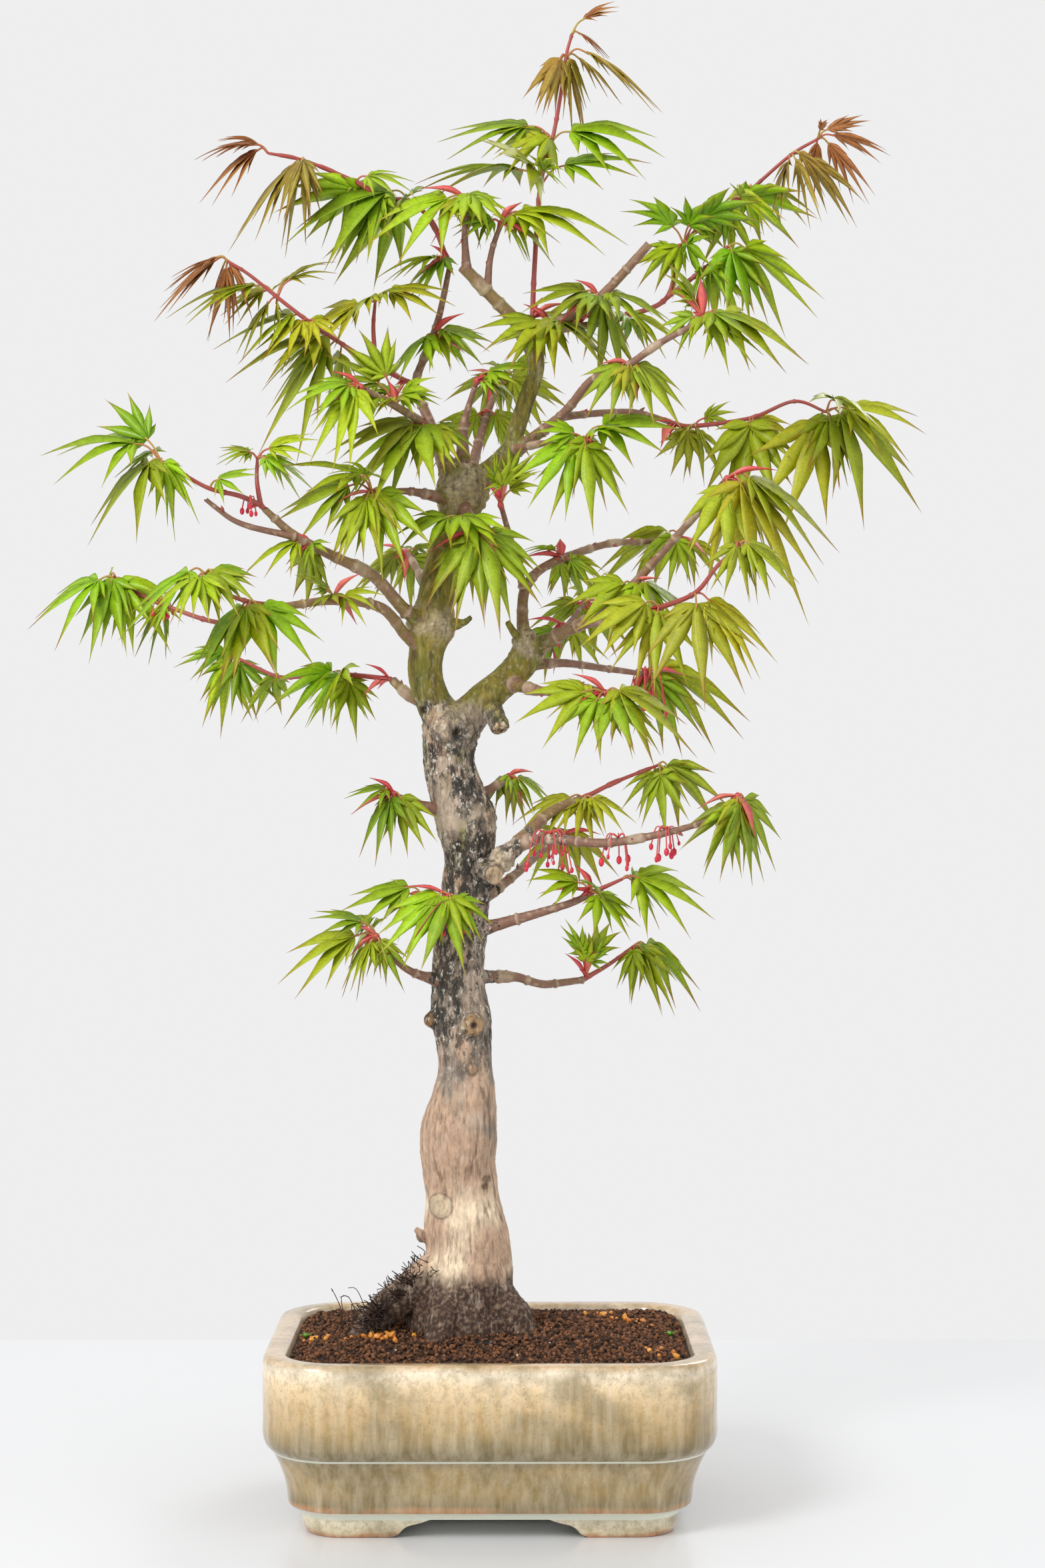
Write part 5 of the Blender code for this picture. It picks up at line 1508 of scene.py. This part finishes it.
def area_light(name, place, target, size, power, colour=(1.0, 1.0, 1.0)):
    """A round lamp that points at a target, in metres."""
    data = bpy.data.lights.new(name, "AREA")
    data.shape = "DISK"
    data.size = size
    data.energy = power
    data.color = colour
    lamp = link(name, data)
    lamp.location = place
    lamp.rotation_euler = (Vector(target) - Vector(place)).to_track_quat("-Z", "Y").to_euler()


def make_lights():
    """A bright surround and three soft lamps."""
    world = bpy.data.worlds.new("studio")
    bpy.context.scene.world = world
    world.use_nodes = True
    background = world.node_tree.nodes["Background"]
    background.inputs["Color"].default_value = (1.0, 1.0, 1.0, 1.0)
    background.inputs["Strength"].default_value = WORLD_STRENGTH
    area_light("key", (-1.3, -1.6, 1.7), (0, 0, 0.4), 0.9, KEY_POWER)
    area_light("fill", (1.6, -1.2, 1.1), (0, 0, 0.35), 1.2, FILL_POWER)
    area_light("rim", (0.9, 1.5, 1.6), (0, 0, 0.4), 1.0, RIM_POWER)


def make_camera():
    """The camera at the photograph's viewing angle."""
    data = bpy.data.cameras.new("camera")
    data.lens = LENS
    data.clip_end = 50.0
    camera = link("camera", data)
    camera.location = CAMERA_PLACE
    camera.rotation_euler = (math.radians(90 - CAMERA_PITCH), 0.0, math.radians(-CAMERA_YAW))
    bpy.context.scene.camera = camera


def plain_copy(finish, tone):
    """The same finish with one colour in place of the mesh's own."""
    made = finish.copy()
    nodes = made.node_tree.nodes
    for node in list(nodes):
        if node.bl_idname == "ShaderNodeMix":
            for joint in list(node.inputs[6].links):
                made.node_tree.links.remove(joint)
            node.inputs[6].default_value = (*tone, 1.0)
    return made


def finish_plain_nodes(pebble_skin, screen_skin):
    """The pebbles and screens keep their CAD shape under a better finish."""
    for name, finish, tone in (
        ("pebble_left", pebble_skin, tint("141416")),
        ("pebble_front", pebble_skin, tint("141416")),
        ("drain_screen_left", screen_skin, tint("1C1C1C")),
        ("drain_screen_right", screen_skin, tint("1C1C1C")),
    ):
        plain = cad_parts[name]
        plain.data.materials.clear()
        plain.data.materials.append(plain_copy(finish, tone))


# ---------------------------------------------------------------------------------------------
# The scene

make_camera()
make_lights()
make_stage()
bpy.context.scene.view_settings.view_transform = "Standard"

bark = bark_material()
twig_bark = tone_material("twig_bark", 0.55, 500.0, 0.22, 0.2)
leaf_skin = leaf_material()
stalk_skin = tone_material("stalk", 0.4, 400.0, 0.15, 0.1)
soil_skin = tone_material("soil", 0.9, 900.0, 0.3, 0.3, rough_range=0.08)
grit_skin = tone_material("amber_grit", 0.35, 700.0, 0.2, 0.15)
pebble_skin = tone_material("pebble", 0.18, 300.0, 0.3, 0.1)
screen_skin = tone_material("screen", 0.6, 800.0, 0.2, 0.1)

make_trunk(bark)
make_twigs(twig_bark)
make_growth([leaf_skin, stalk_skin])
make_flowers(stalk_skin)
make_pot(glaze_material())
make_soil_bed(soil_skin)
scatter("soil_grains", soil_skin, "soil", 9600, (0.6, 1.45), (SOIL_DARK, SOIL_LIGHT), over_bed, 3)
amber_places = in_clusters(AMBER_CLUSTERS, 5.0)
scatter("amber_grains", grit_skin, "soil", 60, (1.0, 2.2), (AMBER, tint("C8702A")), amber_places, 8)
scatter("white_grit", grit_skin, "soil", 60, (0.4, 0.9), (WHITE_GRIT, tint("B8905A")), over_bed, 9)
make_roots_and_sprouts(twig_bark, leaf_skin)
finish_plain_nodes(pebble_skin, screen_skin)
